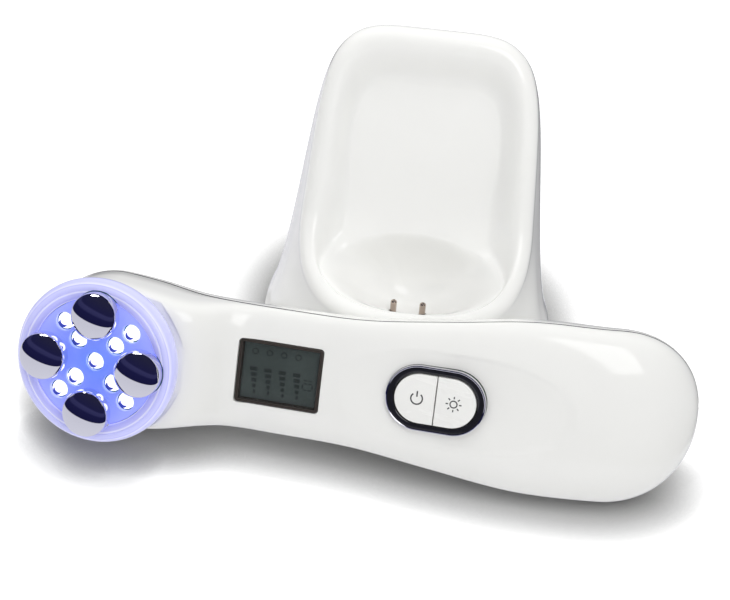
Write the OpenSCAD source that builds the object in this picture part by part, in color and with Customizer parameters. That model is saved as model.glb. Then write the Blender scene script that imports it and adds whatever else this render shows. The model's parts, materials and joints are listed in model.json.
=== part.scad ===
// Handheld facial toning device with its charging cradle.
// Millimetres, Z up. Origin: on the floor, in the middle of the whole; the cradle faces -Y.
// The handset has its own frame: X from the head to the tail, Y across, Z out of the face.

/* [Handset form] */
// Head centre to tail end
body_len = 176; // [168:0.2:186]
// Radius of the round head end of the shells
head_r = 22.5; // [22:0.1:24]
// Half width at the neck, beside the head
neck_hw = 19.5; // [18:0.1:22]
// Half width at the display
waist_hw = 19.4; // [18:0.1:22]
// Half width at the keys
grip_hw = 23; // [20:0.1:25]
// Half width at the widest part of the tail
tail_hw = 26.7; // [25:0.1:30]
// Where the tail is widest
tail_x = 150; // [140:1:156]
// Height of the face at the display
face_z = 10; // [8:0.1:12]
// Height of the face at the widest part of the tail
tail_face_z = 6; // [3:0.1:8]
// Height of the parting line at the head
split_head_z = 3; // [2:0.1:7]
// Height of the parting line at the display
split_waist_z = 5.2; // [3:0.1:6.5]
// Height of the parting line at the keys
split_grip_z = 3.9; // [2:0.1:5]
// Height of the parting line at the widest part of the tail
split_tail_z = -3.6; // [-5:0.1:-2]
// Height of the parting line at the tail end
split_end_z = -14.5; // [-16:0.1:-12]
// Height of the back under the display
back_waist_z = -9.5; // [-12:0.1:-8]
// Height of the back at the widest part of the tail
back_tail_z = -18.6; // [-21:0.1:-17]
// Wall of both shells
shell_t = 2; // [1.6:0.1:2.6]
// Joint gap between the two shells
split_gap = 0.12; // [0.05:0.01:0.3]
// Depth of the thumb recess round the keys
recess_d = 1.4; // [0.6:0.1:2.2]

/* [Head] */
// Height of the seat that carries the lens
seat_z = 18.1; // [16:0.1:20]
// Tilt of the head away from the handle
head_tilt = 5.4; // [0:0.1:14]
// Lens outer radius
lens_r = 25; // [24:0.05:25.6]
// Radius of the lens foot on its seat
seat_r = 22.3; // [21.8:0.1:22.5]
// Lens height above its seat
lens_h = 9.2; // [8:0.1:10]
// Lens wall
lens_t = 2.1; // [1.6:0.1:2.6]
// Inner radius of the lens rim
lens_rim_r = 19.3; // [18.6:0.1:20]
// Light plate, height of its top above the seat
plate_h = 8; // [7:0.1:8.6]
// Light plate thickness
plate_t = 1.6; // [1.2:0.1:2]
// Pitch radius of the electrodes
dome_pitch_r = 14.85; // [14.6:0.05:15]
// Electrode radius
dome_r = 7.1; // [6.6:0.05:7.2]
// Height of the electrode's dome above its skirt
dome_h = 3.7; // [3:0.1:5.5]
// Underside of the electrode skirt above the seat
dome_z = 9.35; // [9.3:0.05:9.8]
// Height of the electrode skirt
skirt_h = 2.9; // [1.2:0.1:3.6]
// Electrode stem radius
stem_r = 3; // [2.4:0.1:3.6]
// Electrode boss radius on the light plate
boss_r = 6.5; // [5.5:0.1:6.7]
// LED radius
led_r = 2.5; // [1.5:0.1:2.6]
// Height of the LED tips above the seat
led_top = 8.5; // [7.5:0.1:9]
// Radius of the inner ring of LEDs
led_in_r = 8.25; // [7.6:0.05:8.4]
// Radius of the outer ring of LEDs
led_out_r = 14.85; // [14.4:0.05:15.2]
// Radius of the round opening under the lens
socket_r = 20.6; // [20:0.1:21]

/* [Display and keys] */
// Middle of the display along the handset
disp_x = 51.8; // [51:0.1:54]
// Display window length
disp_l = 25.6; // [23:0.1:26]
// Display window width
disp_w = 19.9; // [18:0.1:21]
// Width of the dark frame round the window
disp_frame = 1.3; // [0.8:0.1:2]
// Middle of the keys along the handset
key_x = 99.4; // [98:0.1:102]
// Radius of the chrome rim's ends
rim_r = 10.1; // [9.4:0.05:10.6]
// Distance between the two end centres
key_c = 10.2; // [8.5:0.1:12]
// Width of the bright rim
rim_t = 0.7; // [0.5:0.05:1.1]
// Radius of the key ends
key_r = 7.6; // [7:0.05:8.1]
// How much closer the centres of the keys' ends are than the rim's
key_in = 0.7; // [0:0.1:2.5]
// Gap between keys and band, and between the two keys
key_gap = 0.3; // [0.25:0.01:0.4]
// Height of the chrome rim's top
rim_z = 9.9; // [9.5:0.1:10.6]
// Key travel
key_travel = 0.6; // [0.3:0.05:0.8]

/* [Inside the handset] */
// Top of the main board
board_z = 1.6; // [1.2:0.1:2]
// Board thickness
board_t = 1.6; // [1:0.1:1.6]
// Battery length
bat_l = 46; // [40:1:50]
// Battery width
bat_w = 22; // [18:1:26]
// Battery thickness
bat_t = 6; // [5:0.2:7]
// Main board width
board_w = 26; // [20:1:30]
// Room left free between the main board and the tail end
tail_room = 38; // [30:1:45]
// Battery set back from the end of the main board
bat_gap = 6; // [2:1:12]
// Side of the transformer
coil_l = 14; // [10:0.5:16]
// Space between the transformer and the battery
coil_gap = 13.2; // [4:0.2:16]
// Mouths of the charging sockets, in front of the tail end
sock_in = 4.6; // [3.6:0.1:5.6]
// Housing screw shaft radius
screw_r = 1.1; // [1:0.05:1.3]
// Housing screw head radius
screw_head_r = 2.1; // [1.9:0.05:2.4]

/* [Cradle] */
// Height of the front lip
lip_z = 31.5; // [28:0.5:38]
// Front lip, distance in front of the origin
lip_y = 23; // [20:0.5:28]
// Radius of the curve from the lip into the backrest
bend_r = 36; // [32:1:42]
// Lean of the backrest, angle above the floor
lean = 60; // [54:1:68]
// Straight length of the backrest edge
rest_l = 50.8; // [46:0.2:58]
// Half width of the rim at the cup
rim_hw = 33.8; // [31:0.2:36]
// Half width of the rim at the top
top_hw = 28.8; // [26:0.2:31]
// Squareness of the backrest's top corners
corner_n = 5.6; // [4:0.1:7]
// Inset of the rim's middle line at the lip
lip_in = 1.2; // [0:0.1:3]
// Squareness of the tray's rounded front
lip_n = 2.4; // [2:0.1:3]
// Radius of the rounded rim
edge_r = 4.2; // [3.4:0.1:4.8]
// Depth of the hollow in the backrest
rest_d = 5.5; // [4:0.1:7]
// Width of the slope from the rim into the hollow
rest_s = 14; // [8:0.5:18]
// Width of the shelf at which it reaches its full depth
shelf_s = 11; // [8:0.5:14]
// Further depth of the cup
cup_d = 15; // [12:0.5:18]
// Half width of the cup
cup_hw = 28; // [26:0.2:29]
// Half length of the cup
cup_hl = 13.2; // [11:0.2:15]
// Middle of the cup, measured back along the tray from the lip
cup_q = 16.8; // [15:0.2:19]
// Foot half width
foot_hw = 45.5; // [43:0.5:54]
// Foot half depth
foot_hd = 47.3; // [42:0.5:54]
// Foot centre, distance behind the origin
foot_y = 4.5; // [0:0.5:12]
// Height of the upright edge of the foot
foot_h = 5; // [3:0.5:8]
// Cradle wall
cradle_t = 2.4; // [2:0.1:3]
// Height of the rubber feet under the cradle
pad_h = 1.2; // [0.8:0.1:2]
// Contact pin radius
pin_r = 1; // [0.8:0.05:1.2]
// Distance between the contact pins
pin_pitch = 9.1; // [8.4:0.1:9.8]
// Height of the tips of the pins above the floor
pin_top = 22.8; // [22:0.1:26]
// Pins, distance behind the origin
pin_y = -6; // [-8:0.5:-3]
// Barrel socket bore radius in the DC inlet
inlet_r = 2.75; // [2.6:0.05:3]
// Barrel socket bore length
inlet_l = 9; // [8:0.5:10]

/* [Where things stand] */
// Cradle, right of the origin
cradle_x = 12.2; // [5:0.1:20]
// Cradle, behind the origin
cradle_y = 10; // [5:0.1:15]
// Head centre, left of the cradle
set_x = -86.2; // [-95:0.1:-80]
// Angle of the face above level
set_lean = 63.1; // [55:0.1:75]
// Turn about the vertical
set_yaw = -9; // [-12:0.1:2]
// Turn in the plane of the face
set_spin = 3.3; // [-4:0.1:6]
// Gap between the handset's back and the edge of the cradle's foot it leans on
lean_gap = 0.3; // [0.2:0.05:0.6]

/* [Hidden] */
$fn = 48;
eps = 0.01;
fit = 0.15;

// ---------------------------------------------------------------- curves
function last_le(p, x) = max([for (k = [0 : len(p) - 2]) if (p[k][0] <= x || k == 0) k]);
function slope(p, j) =
    let (a = max(j - 1, 0), c = min(j + 1, len(p) - 1)) (p[c][1] - p[a][1]) / (p[c][0] - p[a][0]);
// smooth curve through the points p = [[x, y], ...]
function curve(p, x) =
    let (i = last_le(p, x), h = p[i + 1][0] - p[i][0], t = min((x - p[i][0]) / h, 1))
    (2 * pow(t, 3) - 3 * t * t + 1) * p[i][1] + (pow(t, 3) - 2 * t * t + t) * h * slope(p, i)
    + (3 * t * t - 2 * pow(t, 3)) * p[i + 1][1] + (pow(t, 3) - t * t) * h * slope(p, i + 1);
// falls from 1 at a to 0 at b along a superellipse
function round_off(x, a, b, n) = x <= a ? 1 : pow(max(1 - pow((x - a) / (b - a), n), 0), 1 / n);
function spow(v, n) = sign(v) * pow(abs(v), n);

// ---------------------------------------------------------------- handset form
seat_rise = tan(head_tilt);
function half_w(x) =
    x < 0 ? sqrt(max(head_r * head_r - x * x, 0))
    : curve([[-10, head_r], [0, head_r], [12, (head_r + neck_hw) / 2 + 0.5], [27, neck_hw], [disp_x, waist_hw],
             [75, waist_hw + 0.5], [key_x, grip_hw],
             [125, (grip_hw + tail_hw) / 2 + 1.6], [tail_x, tail_hw], [tail_x + 1, tail_hw]],
            min(x, tail_x)) * round_off(x, tail_x, body_len, 2.15);
function split_z(x) =
    curve([[-24, split_head_z + 0.6], [0, split_head_z], [27, (split_head_z + split_waist_z) / 2],
           [disp_x, split_waist_z], [key_x, split_grip_z],
           [135, (split_grip_z + split_tail_z) / 2 - 0.3], [tail_x, split_tail_z],
           [body_len, split_end_z], [body_len + 12, split_end_z - 6]], x);
function seat_at(x) = seat_z + seat_rise * x;
function crown_z(x) =
    curve([[-24, seat_at(-24) + 1.5], [0, seat_at(0) + 1.5], [18, seat_at(18) + 1.4],
           [24.5, seat_at(24.5) - 0.1], [30, seat_at(24.5) - 3.1], [36, face_z + 2.6], [42, face_z + 0.4], [47, face_z],
           [disp_x, face_z], [75, face_z - 0.2], [key_x, face_z - 0.4], [125, face_z - 1.5],
           [tail_x, tail_face_z], [166, tail_face_z - 3.2], [body_len, tail_face_z - 7]], x);
function front_z(x) =
    split_z(x) + (crown_z(x) - split_z(x)) * round_off(x, 146, body_len, 2.4);
function back_z(x) =
    let (b = curve([[-24, -4.5], [0, -5.2], [27, -7.6], [disp_x, back_waist_z],
                    [key_x, (back_waist_z + back_tail_z) / 2 + 0.6], [130, back_tail_z + 1.4],
                    [tail_x, back_tail_z], [body_len, back_tail_z]], x))
    split_z(x) + (b - split_z(x)) * round_off(x, 142, body_len, 2.4) * round_off(-x, 0, head_r, 2.2);
function front_n(x) = curve([[-24, 9], [0, 9], [18, 8], [30, 4.2], [42, 2.9], [disp_x, 2.7],
                             [key_x, 2.5], [body_len, 2.4]], x);
// floor of the thumb recess: rises along and across until it meets the crown
function recess_z(x, y) =
    face_z - 0.4 - recess_d + 0.0024 * y * y
    + (x > key_x ? -0.028 * (x - key_x) : 0.0019 * pow(key_x - x, 2));
function front_at(x, y) =
    let (n = front_n(x)) split_z(x) + (front_z(x) - split_z(x)) * pow(1 - pow(abs(y) / half_w(x), n), 1 / n);
function back_at(x, y) =
    split_z(x) + (back_z(x) - split_z(x)) * pow(1 - pow(abs(y) / half_w(x), 2.5), 1 / 2.5);
function skin_y(x, a, n) = half_w(x) * spow(cos(a), 2 / n);
function front_pt(x, a) =
    let (n = front_n(x), y = skin_y(x, a, n),
         z = split_z(x) + (front_z(x) - split_z(x)) * pow(max(sin(a), 0), 2 / n))
    [x, y, x > 62 && x < 146 && abs(y) < 19 ? min(z, recess_z(x, y)) : z];
function back_pt(x, a) =
    [x, skin_y(x, a, 2.5), split_z(x) + (back_z(x) - split_z(x)) * pow(max(sin(a), 0), 2 / 2.5)];
// the same skins moved in by t; k is the share of the way from head end to tail end
function in_x(x, t) = -head_r + t + (x + head_r) * (body_len + head_r - 2 * t) / (body_len + head_r);
function in_pt(p, x, t) =
    let (w = half_w(x), zs = split_z(x), h = max(abs(p[2] - zs), 0))
    [in_x(x, t), p[1] * max(w - t, 0.02) / max(w, 0.02),
     split_z(in_x(x, t)) + sign(p[2] - zs) * max(h - t * min(h / 3, 1), 0.001 * t)];

stations = concat([for (a = [8 : 10 : 78]) -head_r * cos(a)],
                  [for (x = [0 : 4 : 44]) x], [for (x = [49 : 6 : 139]) x],
                  [for (a = [0 : 11 : 77]) 145 + (body_len - 145) * sin(a)], [body_len - 0.25]);
arcs = 24;
function arc_angle(k) = 180 * k / arcs;

// closed half shell: outer skin, inner skin and the rim between them. up = 1 front, -1 back
module half_shell(up, gap) {
    ns = len(stations);
    row = arcs + 1;
    outer = [for (x = stations) for (k = [0 : arcs])
             let (p = up > 0 ? front_pt(x, arc_angle(k)) : back_pt(x, arc_angle(k)))
             p + [0, 0, up * gap * (k == 0 || k == arcs ? 1 : 0)]];
    inner = [for (x = stations) for (k = [0 : arcs])
             let (p = in_pt(up > 0 ? front_pt(x, arc_angle(k)) : back_pt(x, arc_angle(k)), x, shell_t))
             [p[0], p[1], k == 0 || k == arcs ? split_z(p[0]) + up * gap : p[2]]];
    ends = [[-head_r, 0, split_z(-head_r) + up * gap], [body_len, 0, split_z(body_len) + up * gap],
            [-head_r + shell_t, 0, split_z(-head_r + shell_t) + up * gap],
            [body_len - shell_t, 0, split_z(body_len - shell_t) + up * gap]];
    no = ns * row;
    e0 = 2 * no;
    function o(i, k) = i * row + k;
    function n(i, k) = no + i * row + k;
    tris = concat(
        [for (i = [0 : ns - 2]) for (k = [0 : arcs - 1]) each
            [[o(i, k), o(i + 1, k), o(i + 1, k + 1)], [o(i, k), o(i + 1, k + 1), o(i, k + 1)],
             [n(i, k), n(i + 1, k + 1), n(i + 1, k)], [n(i, k), n(i, k + 1), n(i + 1, k + 1)]]],
        [for (k = [0 : arcs - 1]) each
            [[e0, o(0, k), o(0, k + 1)], [e0 + 1, o(ns - 1, k + 1), o(ns - 1, k)],
             [e0 + 2, n(0, k + 1), n(0, k)], [e0 + 3, n(ns - 1, k), n(ns - 1, k + 1)]]],
        [for (i = [0 : ns - 2]) each
            [[o(i, 0), n(i, 0), n(i + 1, 0)], [o(i, 0), n(i + 1, 0), o(i + 1, 0)],
             [o(i, arcs), n(i + 1, arcs), n(i, arcs)], [o(i, arcs), o(i + 1, arcs), n(i + 1, arcs)]]],
        [[e0, e0 + 2, n(0, 0)], [e0, n(0, 0), o(0, 0)],
         [e0, n(0, arcs), e0 + 2], [e0, o(0, arcs), n(0, arcs)],
         [e0 + 1, n(ns - 1, 0), e0 + 3], [e0 + 1, o(ns - 1, 0), n(ns - 1, 0)],
         [e0 + 1, e0 + 3, n(ns - 1, arcs)], [e0 + 1, n(ns - 1, arcs), o(ns - 1, arcs)]]);
    polyhedron(points = concat(outer, inner, ends),
               faces = [for (t = tris) up > 0 ? t : [t[0], t[2], t[1]]], convexity = 8);
}

// the handset lies on the floor on its long edge and leans on the foot of the cradle
function turn_z(a, p) = [p[0] * cos(a) - p[1] * sin(a), p[0] * sin(a) + p[1] * cos(a), p[2]];
function turn_x(a, p) = [p[0], p[1] * cos(a) - p[2] * sin(a), p[1] * sin(a) + p[2] * cos(a)];
function turned(p) = turn_z(set_yaw, turn_x(set_lean, turn_z(set_spin, p)));
set_z = -min([for (x = stations) for (a = [150 : 7.5 : 180]) each
              [turned(front_pt(x, a))[2], turned(back_pt(x, a))[2]]]);
lean_edge = [0, foot_y - foot_hd, pad_h + foot_h];
lean_dir = turned([0, 0, -1]);
set_y = min([for (x = [-4 : 2 : 4]) for (a = [90 : 1 : 180])
             let (d = lean_edge - turned(back_pt(x - set_x, a)) - [set_x, 0, set_z])
             if (abs(d[2]) < 0.5 && abs(d[0]) < 5) (d * lean_dir - lean_gap) / lean_dir[1]]);
module in_cradle() { translate([cradle_x, cradle_y, 0]) children(); }
module in_set() {
    in_cradle() translate([set_x, set_y, set_z]) rotate([0, 0, set_yaw]) rotate([set_lean, 0, 0])
    rotate([0, 0, set_spin]) children();
}
module in_head() {
    in_set() translate([0, 0, seat_z]) rotate([0, -head_tilt, 0]) children();
}
module at_domes() { for (a = [0 : 90 : 270]) rotate([0, 0, a]) translate([dome_pitch_r, 0, 0]) children(); }
module at_leds() {
    children();
    for (a = [45 : 90 : 315]) rotate([0, 0, a])
        for (r = [led_in_r, led_out_r]) translate([r, 0, 0]) children();
}
module stadium(r, c) {
    square([c, 2 * r], center = true);
    for (s = [-1, 1]) translate([s * c / 2, 0]) circle(r);
}
module rounded_rect(l, w, r) {
    square([l - 2 * r, w], center = true);
    square([l, w - 2 * r], center = true);
    for (a = [-1, 1]) for (b = [-1, 1]) translate([a * (l / 2 - r), b * (w / 2 - r)]) circle(r);
}

// ---------------------------------------------------------------- handset shells
screw_at = [[45, 13.8], [45, -13.8], [148, 17], [148, -17]];
function boss_top(s) = front_at(s[0], s[1]) - 1.4;
function boss_low(s) = split_z(s[0]) - 0.2;
function screw_z(s) = back_at(s[0], s[1]) + 2.2;
module front_shell() color("white") in_set() {
    difference() {
        union() {
            half_shell(1, split_gap / 2);
            for (s = screw_at) translate([s[0], s[1], boss_low(s) + 0.3])
                cylinder(r = 2.6, h = boss_top(s) - boss_low(s) - 0.3);
        }
        translate([0, 0, seat_z]) rotate([0, -head_tilt, 0]) {
            cylinder(r = lens_r + 0.3, h = 12);
            translate([0, 0, -7.5]) cylinder(r = socket_r, h = 12);
        }
        translate([disp_x, 0, 2]) linear_extrude(12) rounded_rect(disp_l + 2 * fit, disp_w + 2 * fit, 1.2);
        translate([key_x, 0, 2]) linear_extrude(12) stadium(rim_r - rim_t + fit, key_c);
        translate([key_x, 0, rim_low - 0.05]) linear_extrude(4) stadium(rim_r + 0.1, key_c);
        for (s = screw_at) translate([s[0], s[1], boss_low(s) - 1])
            cylinder(r = screw_r + 0.05, h = boss_top(s) - boss_low(s));
    }
}
module rear_shell() color("white") in_set() {
    difference() {
        union() {
            half_shell(-1, split_gap / 2);
            for (s = screw_at) translate([s[0], s[1], screw_z(s) - 1.6])
                cylinder(r = 3.4, h = boss_low(s) - screw_z(s) + 1.6);
        }
        for (s = screw_at) translate([s[0], s[1], 0]) {
            translate([0, 0, -30]) cylinder(r = screw_head_r + 0.3, h = 30 + screw_z(s));
            translate([0, 0, -30]) cylinder(r = screw_r + 0.3, h = 40);
        }
        at_sockets() translate([0, 0, -6]) cylinder(r = sock_r + fit, h = 14);
    }
}
module housing_screws() color("silver") in_set()
    for (s = screw_at) translate([s[0], s[1], screw_z(s)]) {
        translate([0, 0, -1.5]) cylinder(r = screw_head_r, h = 1.5);
        cylinder(r = screw_r, h = boss_top(s) - 1.6 - screw_z(s));
    }

// ---------------------------------------------------------------- head
module head_lens() color("lavender", 0.7) in_head() difference() {
    rotate_extrude($fn = 96) polygon([
        [seat_r, 0.02], [lens_r - 0.6, 3.6], [lens_r - 0.1, 4.8], [lens_r, 5.8], [lens_r - 0.15, 6.8],
        [lens_r - 0.6, 7.8], [lens_r - 1.3, 8.6], [lens_r - 2.1, lens_h - 0.1], [lens_r - 2.9, lens_h],
        [lens_rim_r + 1.6, lens_h - 0.1], [lens_rim_r + 0.5, lens_h - 0.5], [lens_rim_r, plate_h + 0.2],
        [lens_rim_r, plate_h - plate_t - 0.6], [lens_rim_r + 0.9, plate_h - plate_t - 0.6],
        [lens_r - lens_t, 5.6], [lens_r - 0.6 - lens_t, 3.4], [seat_r - lens_t, 0.02]]);
    at_domes() cylinder(r = dome_r + 0.2, h = 20);
}
module light_plate() color("cornflowerblue") in_head() difference() {
    union() {
        translate([0, 0, plate_h - plate_t]) cylinder(r = lens_rim_r - fit, h = plate_t);
        intersection() {
            at_domes() translate([0, 0, plate_h - plate_t]) cylinder(r = boss_r, h = dome_z - plate_h + plate_t);
            cylinder(r = lens_r - 2.4, h = 20);
        }
    }
    at_leds() cylinder(r = led_r + 0.3, h = 20);
    at_domes() cylinder(r = stem_r + fit, h = 20);
}
module electrodes() color("silver") in_head() at_domes() rotate_extrude($fn = 64)
    polygon(concat([[0, 0]], [[stem_r - 1.2, 0], [stem_r - 1.2, 3.4], [stem_r, 3.4], [stem_r, dome_z],
                              [dome_r - 0.2, dome_z], [dome_r, dome_z + 0.25]],
            [for (a = [0 : 7.5 : 90]) [(dome_r) * cos(a), dome_z + skirt_h + dome_h * sin(a)]]));
module leds() color("white") in_head() at_leds() {
    translate([0, 0, 0.02]) cylinder(r = led_r + 0.35, h = 1);
    cylinder(r = led_r, h = led_top - led_r);
    translate([0, 0, led_top - led_r]) sphere(led_r);
}
module led_board() color("darkgreen") in_head() difference() {
    translate([0, 0, -1.6]) cylinder(r = socket_r - 0.4, h = 1.6);
    at_domes() translate([0, 0, -2]) cylinder(r = 1, h = 3);
}
module head_carrier() color("gainsboro") in_head() difference() {
    translate([0, 0, -4.6]) cylinder(r = socket_r - 0.4, h = 2.98);
    translate([0, 0, -3.1]) cylinder(r = socket_r - 2.4, h = 3);
    translate([0, 0, -6]) cylinder(r = 6, h = 6);
}

// ---------------------------------------------------------------- display
module display_frame() color("#3a3330") in_set() translate([disp_x, 0, 0]) difference() {
    translate([0, 0, board_z + 3.4]) linear_extrude(face_z - board_z - 3.45) rounded_rect(disp_l, disp_w, 1.05);
    translate([0, 0, face_z - 1.5]) linear_extrude(4)
        rounded_rect(disp_l - 2 * disp_frame, disp_w - 2 * disp_frame, 0.6);
    linear_extrude(20) square([disp_l - 2 * disp_frame - 1.4, disp_w - 2 * disp_frame - 1.4], center = true);
}
module display_window() color("#46504e") in_set() translate([disp_x, 0, face_z - 1.5])
    linear_extrude(1.2) rounded_rect(disp_l - 2 * disp_frame - 0.1, disp_w - 2 * disp_frame - 0.1, 0.55);
module display_module() color("dimgray") in_set() translate([disp_x, 0, board_z]) {
    linear_extrude(3.4) square([disp_l - 1, disp_w - 1], center = true);
    linear_extrude(face_z - 1.55 - board_z)
        square([disp_l - 2 * disp_frame - 1.7, disp_w - 2 * disp_frame - 1.7], center = true);
}

// ---------------------------------------------------------------- keys
rim_low = 8.5;
key_cc = key_c - key_in;
skirt_r = rim_r - rim_t;
band_r = skirt_r + 0.1;
module key_rim() color("silver") in_set() translate([key_x, 0, 0]) difference() {
    union() {
        translate([0, 0, 6.2]) linear_extrude(rim_low + 0.3 - 6.2) stadium(skirt_r, key_c);
        translate([0, 0, rim_low]) linear_extrude(rim_z - rim_low) stadium(rim_r, key_c);
    }
    linear_extrude(20) stadium(skirt_r - 0.4, key_c);
    translate([0, 0, rim_low + 0.6]) linear_extrude(20) stadium(band_r + 0.03, key_c);
}
module key_band() color("black") in_set() translate([key_x, 0, 0]) difference() {
    union() {
        translate([0, 0, 5.4]) linear_extrude(4) stadium(skirt_r - 0.43, key_c);
        translate([0, 0, rim_low + 0.62]) linear_extrude(rim_z + 0.1 - rim_low - 0.62) stadium(band_r, key_c);
    }
    linear_extrude(20) stadium(key_r + key_gap, key_cc);
}
key_l = key_cc / 2 + key_r;
module half_key(s) in_set() translate([key_x, 0, 0]) {
    intersection() {
        union() {
            translate([0, 0, 5]) linear_extrude(rim_z + 0.2 - 5) stadium(key_r, key_cc);
            translate([0, 0, 4.4]) linear_extrude(0.65) stadium(key_r + 0.7, key_cc);
        }
        translate([s > 0 ? key_gap / 2 : -key_gap / 2 - 20, -20, 0]) cube([20, 40, 20]);
    }
    translate([s * key_l / 2, 0, key_foot_z]) cylinder(r = 1.8, h = 5 - key_foot_z);
}
switch_h = 1.6;
key_foot_z = board_z + switch_h + key_travel + 0.3;
module power_key() color("white") half_key(-1);
module light_key() color("white") half_key(1);
module key_switches() color("gray") in_set() for (s = [-1, 1])
    translate([key_x + s * key_l / 2, 0, board_z]) {
        translate([-3, -3, 0]) cube([6, 6, switch_h - 0.5]);
        cylinder(r = 1.6, h = switch_h);
    }

// ---------------------------------------------------------------- inside the handset
board_x = head_r + 8.5;
bat_x = body_len - tail_room - bat_l - bat_gap;
module main_board() color("darkgreen") in_set() difference() {
    translate([board_x, -board_w / 2, board_z - board_t]) cube([body_len - board_x - tail_room, board_w, board_t]);
    for (s = screw_at) translate([s[0], s[1], -20]) cylinder(r = 3.6, h = 40);
}
module rf_transformer() color("saddlebrown") in_set()
    translate([bat_x - coil_gap - coil_l / 2, 0, board_z - board_t]) mirror([0, 0, 1]) {
    translate([-coil_l / 2, -coil_l / 2, 0]) cube([coil_l, coil_l, 1.4]);
    cylinder(r = coil_l / 2 - 1, h = 5.6);
    translate([-coil_l / 2, -coil_l / 2, 5.6]) cube([coil_l, coil_l, 1]);
}
module battery() color("steelblue") in_set()
    translate([bat_x, -bat_w / 2, board_z - board_t - fit - bat_t]) cube([bat_l, bat_w, bat_t]);

// ---------------------------------------------------------------- charging sockets in the tail
sock_r = pin_r + 0.6;
block_l = 7;
module at_sockets() for (s = [-1, 1]) translate([body_len - sock_in, s * pin_pitch / 2, back_tail_z + 4])
    rotate([0, 115, 0]) children();
module charge_sockets() color("gold") in_set() at_sockets() difference() {
    translate([0, 0, -12]) cylinder(r = sock_r, h = 13);
    translate([0, 0, -7]) cylinder(r = pin_r + 0.3, h = 12);
}
module socket_block() color("gray") in_set() difference() {
    translate([body_len - sock_in - block_l - 7.4, -pin_pitch, back_tail_z + 5.3]) cube([block_l, 2 * pin_pitch, 8.3]);
    at_sockets() translate([0, 0, -20]) cylinder(r = sock_r + fit, h = 30);
}

// ---------------------------------------------------------------- cradle form
bend_l = bend_r * lean * PI / 180;
path_l = bend_l + rest_l;
front_q = 34;
// a point of the bent tray: x across, q along the edge from the lip, h above it
function tray(x, q, h) =
    let (a = min(q / bend_l, 1) * lean, s = max(q - bend_l, 0))
    [x, -lip_y + bend_r * sin(a) + s * cos(lean) - h * sin(a),
     lip_z + bend_r * (1 - cos(a)) + s * sin(lean) + h * cos(a)];
// outline of the tray: a rounded front and squarer top corners
function edge_hw(q) = rim_hw + (top_hw - rim_hw) * q / path_l;
function edge_q(b) = b < 0 ? front_q + (front_q - lip_in) * spow(sin(b), 2 / lip_n)
    : front_q + (path_l - front_q) * pow(sin(b), 2 / corner_n);
function edge_x(b) = edge_hw(edge_q(b)) * pow(max(cos(b), 0), 2 / (b < 0 ? lip_n : corner_n));
// the whole way round: i counts from the front, through the right side, to the top and back
around = 56;
function turn(i) = let (u = i / around) -90 + 360 * u;
function edge_pt(i, off) =
    let (b = turn(i), m = b > 90, c = m ? 180 - b : b, x = edge_x(c), q = edge_q(c),
         d = 1.5, x1 = edge_x(min(c + d, 90)), q1 = edge_q(min(c + d, 90)),
         x0 = edge_x(max(c - d, -90)), q0 = edge_q(max(c - d, -90)),
         l = max(norm([x1 - x0, q1 - q0]), 0.001),
         nx = (q1 - q0) / l, nq = -(x1 - x0) / l)
    [(m ? -1 : 1) * (x + off * (abs(abs(c) - 90) < 0.01 ? 0 : nx)),
     q + off * (abs(abs(c) - 90) < 0.01 ? sign(c) : nq)];
function foot_pt(i, off, z) =
    let (b = turn(i), m = b > 90, c = m ? 180 - b : b, g = c + 8 * sin(2 * c))
    [(m ? -1 : 1) * (foot_hw - off) * pow(max(cos(g), 0), 2 / 2.3),
     foot_y + (foot_hd - off) * spow(sin(g), 2 / 2.3), z];
function bez(a, b, c, d, t) =
    pow(1 - t, 3) * a + 3 * pow(1 - t, 2) * t * b + 3 * (1 - t) * t * t * c + pow(t, 3) * d;
function cup_pt(i, f) =
    let (e = edge_pt(i, 0), v = atan2((e[1] - cup_q) / cup_hl, e[0] / cup_hw))
    [f * cup_hw * cos(v), cup_q + f * cup_hl * sin(v)];
// the slope from the rim: share of the way to the cup's edge and depth, at step k of slope_n
function ease(v) = v * v * (3 - 2 * v);
function shelf_w(i) = norm(cup_pt(i, 1) - edge_pt(i, 0));
function shelf_d(i) = rest_d * sin(90 * min(shelf_w(i) / shelf_s, 1));
function slope_f(i) = min(rest_s / shelf_w(i), 0.75);
slope_n = 5;
wall_steps = 7;
cup_steps = 6;
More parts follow.
